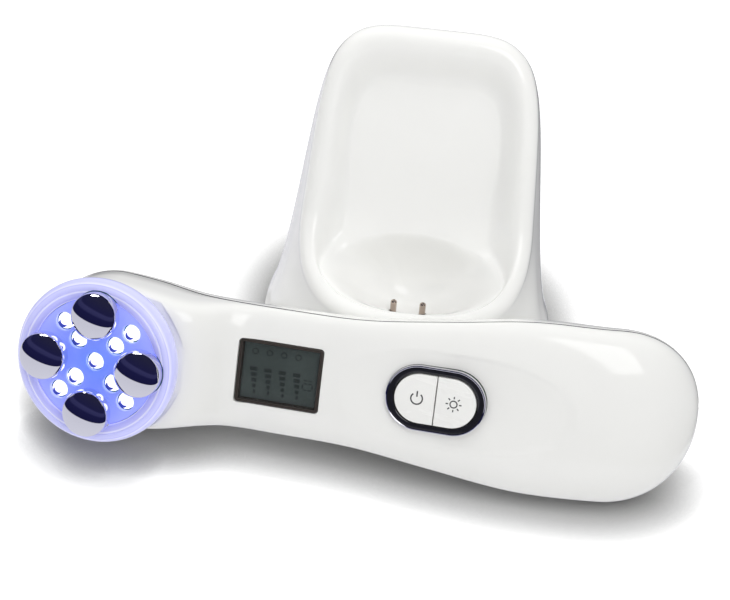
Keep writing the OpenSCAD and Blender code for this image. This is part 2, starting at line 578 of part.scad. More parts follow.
// skin curve number j of the ray i; t moves the skin inwards (0 outside, wall for the hollow)
function skin(i, t) =
    let (z0 = pad_h, p0 = foot_pt(i, t, z0), p1 = foot_pt(i, t, z0 + foot_h),
         r = edge_r, e = edge_pt(i, -t), eo = edge_pt(i, r - t * 0.9),
         top = tray(eo[0], eo[1], -r - t * 0.4),
         q = edge_pt(i, 0)[1], out = tray(edge_pt(i, r + 3)[0], edge_pt(i, r + 3)[1], -r - 12),
         mid = [p1[0] + (top[0] - p1[0]) * 0.55, p1[1] + (top[1] - p1[1]) * 0.55,
                z0 + foot_h + (top[2] - z0 - foot_h) * 0.16],
         hi = top + (out - top) * (0.5 + 0.7 * q / path_l) - [0, 0, 4 * q / path_l])
    concat([p0, p1], [for (k = [1 : wall_steps]) bez(p1, mid, hi, top, k / wall_steps)],
           [for (a = t > 0 ? [60] : [30, 60, 90])
               let (n = edge_pt(i, (r - t * 0.5) * cos(a))) tray(n[0], n[1], -r - t * 0.6 + (r - t * 0.5) * sin(a))],
           [for (k = [1 : slope_n + 1])
               let (v = min(k / slope_n, 1), g = slope_f(i), f = k > slope_n ? 1 : v * g,
                    a = edge_pt(i, 0), c = cup_pt(i, 1))
               tray(a[0] + (c[0] - a[0]) * f, a[1] + (c[1] - a[1]) * f, -shelf_d(i) * ease(v) - t)],
           [for (k = [1 : cup_steps - 1])
               let (f = 1 - pow(k / cup_steps, 1.25), c = cup_pt(i, f),
                    d = shelf_d(i) * f * f + rest_d * (1 - f * f) + cup_d * pow(1 - f * f, 1.25))
               tray(c[0], c[1], -d - t)]);
module cradle_form() {
    so = [for (i = [0 : around - 1]) skin(i, 0)];
    si = [for (i = [0 : around - 1]) skin(i, cradle_t)];
    no = len(so[0]);
    ni = len(si[0]);
    c0 = tray(0, cup_q, -rest_d - cup_d);
    c1 = tray(0, cup_q, -rest_d - cup_d - cradle_t);
    pts = concat([for (r = so) each r], [for (r = si) each r], [c0, c1]);
    base = around * no;
    cc = base + around * ni;
    function o(i, k) = (i % around) * no + k;
    function n(i, k) = base + (i % around) * ni + k;
    polyhedron(points = pts, convexity = 10, faces = concat(
        [for (i = [0 : around - 1]) for (k = [0 : no - 2]) each
            [[o(i, k), o(i + 1, k + 1), o(i + 1, k)], [o(i, k), o(i, k + 1), o(i + 1, k + 1)]]],
        [for (i = [0 : around - 1]) for (k = [0 : ni - 2]) each
            [[n(i, k), n(i + 1, k), n(i + 1, k + 1)], [n(i, k), n(i + 1, k + 1), n(i, k + 1)]]],
        [for (i = [0 : around - 1]) each
            [[o(i, no - 1), cc, o(i + 1, no - 1)], [n(i, ni - 1), n(i + 1, ni - 1), cc + 1],
             [o(i, 0), o(i + 1, 0), n(i + 1, 0)], [o(i, 0), n(i + 1, 0), n(i, 0)]]]));
}
// where the outside of the cradle stands at height z on ray i, moved in by d
function wall_at(i, z, d) =
    let (s = skin(i, 0), k = max([for (j = [0 : wall_steps]) if (s[j][2] <= z) j]),
         f = (z - s[k][2]) / (s[k + 1][2] - s[k][2]), p = s[k] + f * (s[k + 1] - s[k]),
         v = [p[0], p[1] - foot_y], l = norm(v))
    [v[0] * (1 - d / l), foot_y + v[1] * (1 - d / l)];
base_at = [for (i = [8, 20, 36, 48]) wall_at(i, 12, 4.8)];
pad_at = [for (i = [6, 22, 34, 50]) wall_at(i, pad_h, 9)];
pad_r = 4;
inlet_z = 11.5;
inlet_y = foot_y + foot_hd - 5;
holder_z = 8.6;
holder_h = 3.6;
pin_foot_z = 9.6;
module cradle_shell() color("white") in_cradle() difference() {
    union() {
        cradle_form();
        for (p = base_at) translate([p[0], p[1], pad_h + 2.1]) cylinder(r = 3, h = base_boss_top - pad_h - 2.1);
    }
    for (p = base_at) translate([p[0], p[1], pad_h]) cylinder(r = screw_r + 0.05, h = 9.5);
    for (s = [-1, 1]) translate([s * pin_pitch / 2, pin_y, 0]) cylinder(r = pin_r + 0.25, h = 60);
    translate([0, inlet_y - 6, inlet_z]) rotate([-90, 0, 0]) cylinder(r = 5.2, h = 30);
}
base_boss_top = 12;
module contact_pins() color("gold") in_cradle() for (s = [-1, 1]) translate([s * pin_pitch / 2, pin_y, 0]) {
    translate([0, 0, pin_foot_z]) cylinder(r = pin_r, h = pin_top - pin_r - pin_foot_z);
    translate([0, 0, pin_top - pin_r]) sphere(pin_r);
}

module pin_holder() color("gray") in_cradle() difference() {
    union() {
        translate([-11, pin_y - 6, holder_z]) cube([22, 12, holder_h]);
        for (s = [-1, 1]) translate([s * pin_pitch / 2, pin_y, holder_z]) cylinder(r = 2.2, h = holder_h + 0.7);
    }
    for (s = [-1, 1]) translate([s * pin_pitch / 2, pin_y, pin_foot_z]) cylinder(r = pin_r + 0.03, h = 20);
}
module cradle_board() color("darkgreen") in_cradle() difference() {
    translate([-22, -12, holder_z - board_t]) cube([44, 34, board_t]);
    for (p = post_at) translate([p[0], p[1], 0]) cylinder(r = 1.4, h = 20);
}
post_at = [[-18, -8], [18, -8], [-18, 18], [18, 18]];
module dc_inlet() color("dimgray") in_cradle() translate([0, inlet_y, inlet_z]) rotate([-90, 0, 0]) {
    difference() {
        union() {
            translate([-5.5, -5, -inlet_l - 2.5]) cube([11, 10, inlet_l + 1]);
            translate([0, 0, -2]) cylinder(r = 4.9, h = 2);
        }
        translate([0, 0, -inlet_l]) cylinder(r = inlet_r, h = inlet_l + 1);
    }
}
module base_plate() color("whitesmoke") in_cradle() difference() {
    union() {
        translate([0, 0, pad_h]) linear_extrude(2)
            polygon([for (i = [0 : around - 1]) let (p = foot_pt(i, cradle_t + 0.25, 0)) [p[0], p[1]]]);
        for (p = post_at) translate([p[0], p[1], pad_h]) {
            cylinder(r = 2.4, h = holder_z - board_t - pad_h);
            cylinder(r = 1.3, h = holder_z - pad_h + 0.8);
        }
    }
    for (p = base_at) translate([p[0], p[1], 0]) {
        cylinder(r = screw_head_r + 0.3, h = pad_h + 1.1);
        cylinder(r = screw_r + 0.25, h = 10);
    }
    for (p = pad_at) translate([p[0], p[1], 0]) cylinder(r = pad_r + 0.1, h = pad_h + 0.8);
}
module ballast_plate() color("gray") in_cradle() difference() {
    translate([0, 0, pad_h + 2]) linear_extrude(2.5)
        polygon([for (i = [0 : around - 1]) let (p = foot_pt(i, 13, 0)) [p[0], p[1]]]);
    for (p = post_at) translate([p[0], p[1], 0]) cylinder(r = 2.7, h = 20);
    for (p = base_at) translate([p[0], p[1], 0]) cylinder(r = 4.6, h = 20);
}
module rubber_feet() color("#333333") in_cradle() for (p = pad_at) translate([p[0], p[1], 0]) cylinder(r = pad_r, h = pad_h + 0.8);
module base_screws() color("silver") in_cradle() for (p = base_at) translate([p[0], p[1], pad_h + 0.05]) {
    cylinder(r = screw_head_r, h = 1.05);
    cylinder(r = screw_r, h = 8);
}

front_shell();
rear_shell();
head_lens();
light_plate();
electrodes();
leds();
led_board();
head_carrier();
display_frame();
display_window();
display_module();
key_rim();
key_band();
power_key();
light_key();
key_switches();
main_board();
rf_transformer();
battery();
charge_sockets();
socket_block();
housing_screws();
cradle_shell();
contact_pins();
pin_holder();
cradle_board();
dc_inlet();
ballast_plate();
base_plate();
rubber_feet();
base_screws();
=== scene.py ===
import json
import math
from types import SimpleNamespace

import bmesh
import bpy
from mathutils import Matrix, Vector

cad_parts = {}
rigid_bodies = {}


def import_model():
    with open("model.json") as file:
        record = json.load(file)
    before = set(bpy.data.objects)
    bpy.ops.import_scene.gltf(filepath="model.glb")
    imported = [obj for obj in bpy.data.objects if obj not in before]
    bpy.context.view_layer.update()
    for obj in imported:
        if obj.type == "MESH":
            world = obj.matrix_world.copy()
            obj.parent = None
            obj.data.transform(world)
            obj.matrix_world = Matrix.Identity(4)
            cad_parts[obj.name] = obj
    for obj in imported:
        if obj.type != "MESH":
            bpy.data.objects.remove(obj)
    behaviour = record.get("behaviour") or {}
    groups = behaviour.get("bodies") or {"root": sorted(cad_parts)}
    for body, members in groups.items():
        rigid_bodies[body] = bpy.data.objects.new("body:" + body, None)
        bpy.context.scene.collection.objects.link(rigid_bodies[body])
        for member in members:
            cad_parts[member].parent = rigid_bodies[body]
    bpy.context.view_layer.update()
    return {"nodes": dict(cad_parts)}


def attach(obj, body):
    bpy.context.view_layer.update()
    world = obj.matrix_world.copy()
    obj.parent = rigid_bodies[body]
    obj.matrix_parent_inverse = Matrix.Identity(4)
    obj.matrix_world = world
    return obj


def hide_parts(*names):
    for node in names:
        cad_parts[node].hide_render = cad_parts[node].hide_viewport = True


bl_info = {
    "name": "Facial toning device",
    "version": (1, 0, 0),
    "blender": (4, 5, 0),
    "location": "View3D > Sidebar > Toning device",
    "description": "Dresses the facial toning device and its charging cradle",
    "category": "Object",
}

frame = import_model()
NODES = frame["nodes"]


# ------------------------------------------------------------------ sizes
def length(name, text, value):
    """A length that is written in millimetres and kept in metres."""
    return bpy.props.FloatProperty(
        name=name, description=text, default=value * 0.001, unit="LENGTH", precision=5
    )


def angle(name, text, value):
    """An angle that is written in degrees and kept in radians."""
    return bpy.props.FloatProperty(
        name=name, description=text, default=math.radians(value), subtype="ANGLE"
    )


def colour(name, text, value):
    """A colour, in linear values."""
    return bpy.props.FloatVectorProperty(
        name=name, description=text, default=value, size=3, subtype="COLOR", min=0, max=1
    )


def amount(name, text, value):
    """A plain number."""
    return bpy.props.FloatProperty(name=name, description=text, default=value)


class HandsetSizes(bpy.types.PropertyGroup):
    """The handset's two covers and how they lie."""

    body_len: length("Length", "Head centre to tail end", 176)
    head_r: length("Head radius", "Round head end of the covers", 22.5)
    neck_hw: length("Neck", "Half width beside the head", 19.5)
    waist_hw: length("Waist", "Half width at the display", 19.4)
    grip_hw: length("Grip", "Half width at the keys", 23)
    tail_hw: length("Tail", "Half width at the widest part of the tail", 26.7)
    tail_x: length("Tail place", "Where the tail is widest", 150)
    face_z: length("Face", "Height of the face at the display", 10)
    tail_face_z: length("Tail face", "Height of the face at the tail", 6)
    split_head_z: length("Parting at head", "Height of the parting line there", 3)
    split_waist_z: length("Parting at display", "Height of the parting line there", 5.2)
    split_grip_z: length("Parting at keys", "Height of the parting line there", 3.9)
    split_tail_z: length("Parting at tail", "Height of the parting line there", -3.6)
    split_end_z: length("Parting at end", "Height of the parting line at the tip", -14.5)
    back_head_z: length("Back at head", "Height of the back there", -5.2)
    back_waist_z: length("Back at display", "Height of the back there", -9.5)
    back_tail_z: length("Back at tail", "Height of the back there", -18.6)
    wall: length("Wall", "Wall of both covers", 2)
    gap: length("Joint", "Gap between the two covers", 0.8)
    # The tongue's dark grey is painted shade in the joint.
    tongue: length("Tongue", "How far the dark tongue in the joint lies inside the outline", 0.05)
    lip: length("Parting edge", "Rounding of each cover along the parting line", 0.28)
    recess_d: length("Thumb recess", "Its depth round the keys", 1.4)
    recess_step: length("Recess step", "Height of the sloping wall round the recess", 0.45)
    recess_edge: length("Recess slope", "Depth over which that wall runs out into the floor", 0.26)
    seat_z: length("Head seat", "Height of the seat of the lens", 18.1)
    screw_head_r: length("Screw head", "Radius of a housing screw's head", 2.1)
    yaw: angle("Yaw", "Turn of the handset about the vertical", -9)
    lean: angle("Lean", "Angle of its face above level", 63.1)
    spin: angle("Spin", "Turn in the plane of its face", 3.3)
    tilt: angle("Head tilt", "Tilt of the head away from the handle", 5.4)


class HeadSizes(bpy.types.PropertyGroup):
    """The head: lens, light plate, electrodes and lights."""

    lens_r: length("Lens", "Outer radius of the lens", 25)
    seat_r: length("Lens foot", "Radius of the lens on its seat", 22.3)
    lens_h: length("Lens height", "Height above the seat", 9.2)
    lens_t: length("Lens wall", "Wall of the lens", 2.1)
    rim_r: length("Lens rim", "Inner radius of the lens rim", 19.3)
    plate_h: length("Light plate", "Height of its top above the seat", 8)
    plate_t: length("Plate thickness", "Thickness of the light plate", 1.6)
    pitch_r: length("Dome pitch", "Pitch radius of the electrodes", 14.85)
    dome_r: length("Dome radius", "Radius of an electrode", 7.1)
    dome_h: length("Dome rise", "Rise of the dome above its skirt", 3.7)
    dome_z: length("Dome seat", "Underside of the skirt above the seat", 9.35)
    skirt_h: length("Skirt", "Height of the electrode's skirt", 2.9)
    stem_r: length("Stem", "Radius of the electrode's stem", 3)
    boss_r: length("Boss", "Radius of the boss under an electrode", 6.5)
    led_r: length("Light radius", "Radius of a light", 2.5)
    led_top: length("Light height", "Height of its tip above the seat", 8.5)
    led_in_r: length("Inner ring", "Radius of the inner ring of lights", 8.25)
    led_out_r: length("Outer ring", "Radius of the outer ring of lights", 14.85)


class FaceSizes(bpy.types.PropertyGroup):
    """The display and the keys on the face."""

    disp_x: length("Display place", "Middle of the display along the handset", 51.8)
    disp_l: length("Display length", "Length of the window", 25.6)
    disp_w: length("Display width", "Width of the window", 19.9)
    border: length("Display border", "Width of the dark frame", 1.0)
    glass_d: length("Window foot", "Underside of the window below the face", 1.5)
    key_x: length("Key place", "Middle of the keys along the handset", 99.4)
    rim_r: length("Rim radius", "Radius of the chrome rim's ends", 10.1)
    key_c: length("Rim centres", "Distance between the end centres", 10.2)
    rim_t: length("Rim width", "Width of the bright rim", 0.7)
    key_in: length("Key centres", "The keys' end centres, less far apart than the rim's", 0.7)
    key_r: length("Key radius", "Radius of the key ends", 7.6)
    key_gap: length("Key gap", "Gap round and between the keys", 0.3)
    rim_z: length("Rim height", "Height of the chrome rim's top", 9.9)


class CradleSizes(bpy.types.PropertyGroup):
    """The cradle, its cup, foot, contact pins and inlet."""

    at_x: length("Place right", "Cradle, right of the origin", 12.2)
    at_y: length("Place back", "Cradle, behind the origin", 10)
    lip_z: length("Lip height", "Height of the front lip", 31.5)
    lip_y: length("Lip place", "Front lip, distance in front", 23)
    bend_r: length("Bend", "Radius from the lip into the backrest", 36)
    lean: angle("Lean", "Angle of the backrest above level", 60)
    rest_l: length("Backrest", "Straight length of its edge", 50.8)
    rim_hw: length("Width at cup", "Half width of the rim at the cup", 33.8)
    top_hw: length("Width at top", "Half width of the rim at the top", 28.8)
    corner_n: amount("Corner", "Squareness of the top corners", 5.6)
    lip_in: length("Lip inset", "Inset of the rim's middle line at the lip", 1.2)
    lip_n: amount("Lip corner", "Squareness of the rounded front", 2.4)
    edge_r: length("Rim", "Radius of the rounded rim", 4.2)
    rest_d: length("Hollow", "Depth of the hollow in the backrest", 5.5)
    rest_s: length("Slope", "Width of the slope from the rim into the hollow", 14)
    shelf_s: length("Shelf", "Width of the shelf at which it is at full depth", 11)
    cup_d: length("Cup", "Further depth of the cup", 15)
    cup_n: amount("Cup edge", "How softly the cup's edge rolls in; more is softer", 1.7)
    cup_hw: length("Cup width", "Half width of the cup", 28)
    cup_hl: length("Cup length", "Half length of the cup", 13.2)
    cup_q: length("Cup place", "Middle of the cup behind the lip", 16.8)
    foot_hw: length("Foot width", "Half width of the foot", 45.5)
    foot_hd: length("Foot depth", "Half depth of the foot", 47.3)
    foot_y: length("Foot place", "Foot centre behind the origin", 4.5)
    foot_h: length("Foot edge", "Height of the foot's upright edge", 5)
    wall: length("Wall", "Wall of the cradle", 2.4)
    pad_h: length("Pads", "Height of the rubber feet", 1.2)
    pin_r: length("Pin radius", "Radius of a contact pin", 1)
    pin_pitch: length("Pin pitch", "Distance between the contact pins", 9.1)
    sock_in: length("Sockets", "Charging sockets, short of the handset's tail end", 4.6)
    pin_top: length("Pin height", "Height of the tips above the floor", 22.8)
    pin_y: length("Pin place", "Pins behind the origin", -6)
    inlet_r: length("Inlet opening", "Radius of the opening for the power inlet", 5.2)
    inlet_z: length("Inlet height", "Middle of the power inlet above the floor", 11.5)
    inlet_in: length("Inlet place", "Start of the power inlet in front of the foot's back", 5)


class Finishes(bpy.types.PropertyGroup):
    """Colours of the finishes."""

    shell: colour("Handset shell", "Glossy white of the covers", (0.83, 0.83, 0.815))
    cradle: colour("Cradle", "Glossy white of the cradle", (0.885, 0.885, 0.868))
    lens: colour("Lens", "Lavender of the lens", (0.53, 0.54, 0.88))
    plate: colour("Light plate", "Blue of the lit plate", (0.11, 0.2, 0.8))
    plate_edge: colour("Plate edge", "Paler blue of the light plate's edge", (0.3, 0.34, 0.85))
    light: colour("Lights", "Colour of the lights", (0.97, 0.96, 1.0))
    chrome: colour("Electrodes", "Colour of the polished electrodes", (0.80, 0.80, 0.84))
    band: colour("Key band", "Glossy dark band round the keys", (0.012, 0.012, 0.015))
    border: colour("Display border", "Dark border of the display", (0.05, 0.043, 0.038))
    panel: colour("Display panel", "Grey green of the display", (0.082, 0.105, 0.1))
    nickel: colour("Pins", "Warm nickel of the contact pins", (0.50, 0.41, 0.35))


def in_mm(group):
    """The group's lengths in millimetres and its other values as they are."""
    values = {}
    for key in group.__annotations__:
        value = getattr(group, key)
        unit = group.bl_rna.properties[key].unit
        values[key] = value * 1000 if unit == "LENGTH" else value
    return SimpleNamespace(**values)


# ------------------------------------------------------------------ curves and places
def smooth_line(points, x):
    """The height at x of a smooth curve through the points."""
    last = max([k for k in range(len(points) - 1) if points[k][0] <= x or k == 0])
    (x0, y0), (x1, y1) = points[last], points[last + 1]

    def slope(j):
        a, b = points[max(j - 1, 0)], points[min(j + 1, len(points) - 1)]
        return (b[1] - a[1]) / (b[0] - a[0])

    h = x1 - x0
    t = min((x - x0) / h, 1)
    return (
        (2 * t**3 - 3 * t * t + 1) * y0
        + (t**3 - 2 * t * t + t) * h * slope(last)
        + (3 * t * t - 2 * t**3) * y1
        + (t**3 - t * t) * h * slope(last + 1)
    )


def bezier(a, b, c, d, u):
    """The point at u, from 0 to 1, on the curve from a to d that b and c draw to them."""
    v = 1 - u
    return v**3 * a + 3 * v**2 * u * b + 3 * v * u * u * c + u**3 * d


def round_off(x, a, b, n):
    """Falls from 1 at a to 0 at b along a superellipse."""
    return 1.0 if x <= a else max(1 - ((x - a) / (b - a)) ** n, 0) ** (1 / n)


def signed_power(v, n):
    """v to the power n, with the sign of v."""
    return math.copysign(abs(v) ** n, v)


def share_of(v):
    """v kept between 0 and 1."""
    return min(max(v, 0), 1)


def soft_min(a, b, r):
    """The lower of a and b, with the fold between them rounded over r."""
    h = max(r - abs(a - b), 0) / r
    return min(a, b) - h * h * r / 4


def polar(r, a):
    """The point at radius r and angle a."""
    return r * math.cos(a), r * math.sin(a)


def handset_place():
    """Where the handset lies, from its angles and the display window's own box."""
    h, f = in_mm(bpy.context.scene.toning_handset), in_mm(bpy.context.scene.toning_face)
    turn = (
        Matrix.Rotation(h.yaw, 4, "Z")
        @ Matrix.Rotation(h.lean, 4, "X")
        @ Matrix.Rotation(h.spin, 4, "Z")
    )
    back = turn.inverted()
    points = [back @ v.co for v in NODES["display_window"].data.vertices]
    low = Vector([min(p[i] for p in points) for i in range(3)])
    high = Vector([max(p[i] for p in points) for i in range(3)])
    middle = (low + high) / 2
    middle.x -= f.disp_x * 0.001
    middle.z = low.z - (h.face_z - f.glass_d) * 0.001
    return Matrix.Translation(turn @ middle) @ turn


def place_on_face(x):
    """A place on the handset's middle line, x along it."""
    return handset_place() @ Matrix.Translation((x * 0.001, 0, 0))


def head_place():
    """Where the head's own frame is: its centre on the seat, tilted."""
    h = in_mm(bpy.context.scene.toning_handset)
    return (
        handset_place()
        @ Matrix.Translation((0, 0, h.seat_z * 0.001))
        @ Matrix.Rotation(-h.tilt, 4, "Y")
    )


def socket_place(side):
    """Where a charging socket stands in the tail."""
    h, c = in_mm(bpy.context.scene.toning_handset), in_mm(bpy.context.scene.toning_cradle)
    above_back, turn = 4, math.radians(115)
    spot = Vector((h.body_len - c.sock_in, side * c.pin_pitch / 2, h.back_tail_z + above_back))
    return Matrix.Translation(spot * 0.001) @ Matrix.Rotation(turn, 4, "Y")


def cradle_place():
    """Where the cradle stands."""
    c = bpy.context.scene.toning_cradle
    return Matrix.Translation((c.at_x, c.at_y, 0))


def inlet_place():
    """Where the power inlet's bore starts on the cradle, looking out of its back."""
    c = in_mm(bpy.context.scene.toning_cradle)
    spot = Vector((0, c.foot_y + c.foot_hd - c.inlet_in, c.inlet_z)) * 0.001
    return Matrix.Translation(spot) @ Matrix.Rotation(-math.pi / 2, 4, "X")


# ------------------------------------------------------------------ modelling helpers
# In millimetres.
WELD = 0.0004  # corners closer together than this become one
FIT = 0.3  # room round a piece in its opening
PRINT_H = 0.03  # height of a printed mark or a display segment


def closed_up(bm):
    """Welds the corners that meet and turns every face outwards."""
    bmesh.ops.remove_doubles(bm, verts=bm.verts, dist=WELD)
    bmesh.ops.dissolve_degenerate(bm, dist=WELD, edges=bm.edges)
    bmesh.ops.recalc_face_normals(bm, faces=bm.faces)
    return bm


def moulded_sheet(rows, columns, point):
    """A grid whose corner (row, column) is moved to point(row, column), then welded shut."""
    bm = bmesh.new()
    bmesh.ops.create_grid(bm, x_segments=rows, y_segments=columns, size=1)
    low = [min(v.co[i] for v in bm.verts) for i in range(2)]
    high = [max(v.co[i] for v in bm.verts) for i in range(2)]
    for v in bm.verts:
        i = round((v.co.x - low[0]) / (high[0] - low[0]) * rows)
        j = round((v.co.y - low[1]) / (high[1] - low[1]) * columns)
        v.co = point(i, j)
    return closed_up(bm)


def turned_body(profile, steps=96, closed=False):
    """A body of revolution about Z from (radius, height) points, from axis to axis or closed."""
    bm = bmesh.new()
    corners = [bm.verts.new((r, 0, z)) for r, z in profile]
    edges = [bm.edges.new(pair) for pair in zip(corners, corners[1:])]
    if closed:
        edges.append(bm.edges.new((corners[-1], corners[0])))
    bmesh.ops.spin(
        bm,
        geom=corners + edges,
        axis=(0, 0, 1),
        cent=(0, 0, 0),
        steps=steps,
        angle=2 * math.pi,
        use_merge=True,
        use_duplicate=False,
    )
    return closed_up(bm)


def stacked_rods(levels, steps=48):
    """A round solid from (radius, low, high) levels, the lowest first."""
    profile = [(0, levels[0][1])]
    for r, low, high in levels:
        profile += [(r, low), (r, high)]
    return turned_body([*profile, (0, levels[-1][2])], steps)


def rod(r, low, high, steps=48):
    """A plain round rod about Z."""
    return stacked_rods([(r, low, high)], steps)


def slab(outline, low, high, rounding=0.0, segments=3):
    """An outline extruded from low to high, its top edge rounded."""
    bm = bmesh.new()
    face = bm.faces.new([bm.verts.new((x, y, low)) for x, y in outline])
    made = bmesh.ops.extrude_face_region(bm, geom=[face])
    top = [g for g in made["geom"] if isinstance(g, bmesh.types.BMVert)]
    bmesh.ops.translate(bm, verts=top, vec=(0, 0, high - low))
    if not any(all(v.co.z == low for v in f.verts) for f in bm.faces):
        bmesh.ops.holes_fill(bm, edges=bm.edges, sides=0)
    bmesh.ops.recalc_face_normals(bm, faces=bm.faces)
    if rounding:
        bmesh.ops.bevel(
            bm,
            geom=[e for e in bm.edges if all(abs(v.co.z - high) < 1e-6 for v in e.verts)],
            offset=rounding,
            offset_type="OFFSET",
            segments=segments,
            profile=0.5,
            affect="EDGES",
            material=-1,
            clamp_overlap=True,
        )
    return bm


def frame_ring(path, profile):
    """A closed profile of (outward, height) points carried round a closed path."""
    n, m = len(path), len(profile)

    def point(i, j):
        (x, y), (nx, ny) = path[i % n]
        out, z = profile[j % m]
        return Vector((x + nx * out, y + ny * out, z))

    return moulded_sheet(n, m, point)


def stadium(r, c, n=24):
    """Points and outward directions round a stadium of end radius r and centres c apart."""
    points = []
    for side in (1, -1):
        for k in range(n + 1):
            a = -math.pi / 2 + math.pi * k / n + (0 if side > 0 else math.pi)
            nx, ny = math.cos(a), math.sin(a)
            points.append(((side * c / 2 + r * nx, r * ny), (nx, ny)))
    return points


def half_stadium(r, c, gap, n=20):
    """Outline of the right half of a stadium, cut gap from the middle line."""
    turns = [-math.pi / 2 + math.pi * k / n for k in range(n + 1)]
    return [(gap, -r), *[(c / 2 + r * math.cos(a), r * math.sin(a)) for a in turns], (gap, r)]


def rounded_rect(length_x, width_y, r, n=8):
    """Points and outward directions round a rectangle with rounded corners."""
    points = []
    for quarter, (sx, sy) in enumerate([(1, 1), (-1, 1), (-1, -1), (1, -1)]):
        cx, cy = sx * (length_x / 2 - r), sy * (width_y / 2 - r)
        for k in range(n + 1):
            a = math.pi / 2 * (quarter + k / n)
            nx, ny = math.cos(a), math.sin(a)
            points.append(((cx + r * nx, cy + r * ny), (nx, ny)))
    return points


def corners_of(path):
    """A path's points without their outward directions."""
    return [point for point, _ in path]


def stroke(points, width):
    """A flat printed line along the points."""
    left, right = [], []
    for k, (x, y) in enumerate(points):
        (x0, y0), (x1, y1) = points[max(k - 1, 0)], points[min(k + 1, len(points) - 1)]
        size = math.hypot(x1 - x0, y1 - y0)
        nx, ny = -(y1 - y0) / size * width / 2, (x1 - x0) / size * width / 2
        left.append((x + nx, y + ny))
        right.append((x - nx, y - ny))
    return slab(left + right[::-1], 0, PRINT_H)


def arc(r, start, end, n=28):
    """Points on an arc about the origin, its ends in degrees."""
    return [polar(r, math.radians(start + (end - start) * k / n)) for k in range(n + 1)]


def merged(parts):
    """Several bmeshes as one."""
    whole = bmesh.new()
    scratch = bpy.data.meshes.new("scratch")
    for bm in parts:
        bm.to_mesh(scratch)
        whole.from_mesh(scratch)
        bm.free()
    bpy.data.meshes.remove(scratch)
    return whole


def moved(bm, x=0.0, y=0.0, z=0.0, turn=0.0):
    """The bmesh turned about Z, then moved."""
    place = Matrix.Translation((x, y, z)) @ Matrix.Rotation(turn, 4, "Z")
    bmesh.ops.transform(bm, matrix=place, verts=bm.verts)
    return bm


def plain_object(name, bm, place):
    """The bmesh, modelled in millimetres, as an object at the origin with its place in its mesh."""
    bmesh.ops.transform(bm, matrix=place @ Matrix.Scale(0.001, 4), verts=bm.verts)
    mesh = bpy.data.meshes.new(name)
    bm.to_mesh(mesh)
    bm.free()
    piece = bpy.data.objects.new(name, mesh)
    bpy.context.scene.collection.objects.link(piece)
    return piece


def cut_away(piece, cutter_bm, place):
    """Cuts a bmesh's shape out of a piece."""
    cutter = plain_object("cutter", cutter_bm, place)
    modifier = piece.modifiers.new("Opening", "BOOLEAN")
    modifier.operation = "DIFFERENCE"
    modifier.solver = "MANIFOLD"
    modifier.object = cutter
    bpy.context.view_layer.update()
    shaped = bpy.data.meshes.new_from_object(
        piece.evaluated_get(bpy.context.evaluated_depsgraph_get())
    )
    piece.modifiers.clear()
    if len(shaped.polygons) == len(piece.data.polygons):
        raise RuntimeError("nothing was cut from " + piece.name)
    old, piece.data = piece.data, shaped
    bpy.data.meshes.remove(old)
    mesh = cutter.data
    bpy.data.objects.remove(cutter)
    bpy.data.meshes.remove(mesh)


def finished(piece, body, slot, finish, replaces=(), sharp=30):
    """Shades a piece, paints it and puts it on its body; edges over sharp degrees stay crisp."""
    mesh = piece.data
    mesh.shade_smooth()
    mesh.set_sharp_from_angle(angle=math.radians(sharp))
    mesh.materials.clear()
    mesh.materials.append(paint(finish))
    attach(piece, body)
    if replaces:
        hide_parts(*replaces)


def whole_piece(name, bm, place, *dressing, **more):
    """A piece that needs no cutting, dressed as finished() says."""
    finished(plain_object(name, bm, place), *dressing, **more)


# ------------------------------------------------------------------ finishes
def node_group(name, inputs, outputs):
    """An empty shader group with named inputs and their defaults, and named value outputs."""
    group = bpy.data.node_groups.new(name, "ShaderNodeTree")
    for title, default in inputs.items():
        kind = "NodeSocketVector" if isinstance(default, tuple) else "NodeSocketFloat"
        socket = group.interface.new_socket(title, in_out="INPUT", socket_type=kind)
        socket.default_value = default
    for title in outputs:
        group.interface.new_socket(title, in_out="OUTPUT", socket_type="NodeSocketFloat")
    given, out = group.nodes.new("NodeGroupInput"), group.nodes.new("NodeGroupOutput")
    return group, given.outputs, out.inputs


def add(tree, kind, settings=None, **links):
    """A node with its settings, its inputs set or linked by name, or by number as i0, i1."""
    node = tree.nodes.new("ShaderNode" + kind)
    for key, value in (settings or {}).items():
        setattr(node, key, value)
    for key, value in links.items():
        numbered = key[0] == "i" and key[1:].isdigit()
        socket = node.inputs[int(key[1:]) if numbered else key.replace("_", " ")]
        if isinstance(value, bpy.types.NodeSocket):
            tree.links.new(value, socket)
        else:
            socket.default_value = value
    return node


def maths(tree, operation, *values, clamp=False):
    """The result of a Math node on sockets or numbers."""
    links = {f"i{k}": value for k, value in enumerate(values)}
    return add(tree, "Math", {"operation": operation, "use_clamp": clamp}, **links).outputs[0]


def moulded_skin_group():
    """The faint unevenness that an injection mould leaves: mottle and height."""
    group, (vector, scale, *_), out = node_group(
        "Moulded skin", {"Vector": (0, 0, 0), "Scale": 60.0}, ["Mottle", "Height"]
    )
    broad = add(group, "TexNoise", Vector=vector, Scale=scale, Detail=3.0).outputs[0]
    fine_scale = maths(group, "MULTIPLY", scale, 14.0)
    fine = add(group, "TexNoise", Vector=vector, Scale=fine_scale, Detail=2.0).outputs[0]
    group.links.new(broad, out[0])
    group.links.new(maths(group, "MULTIPLY_ADD", fine, 0.25, broad), out[1])
    return group


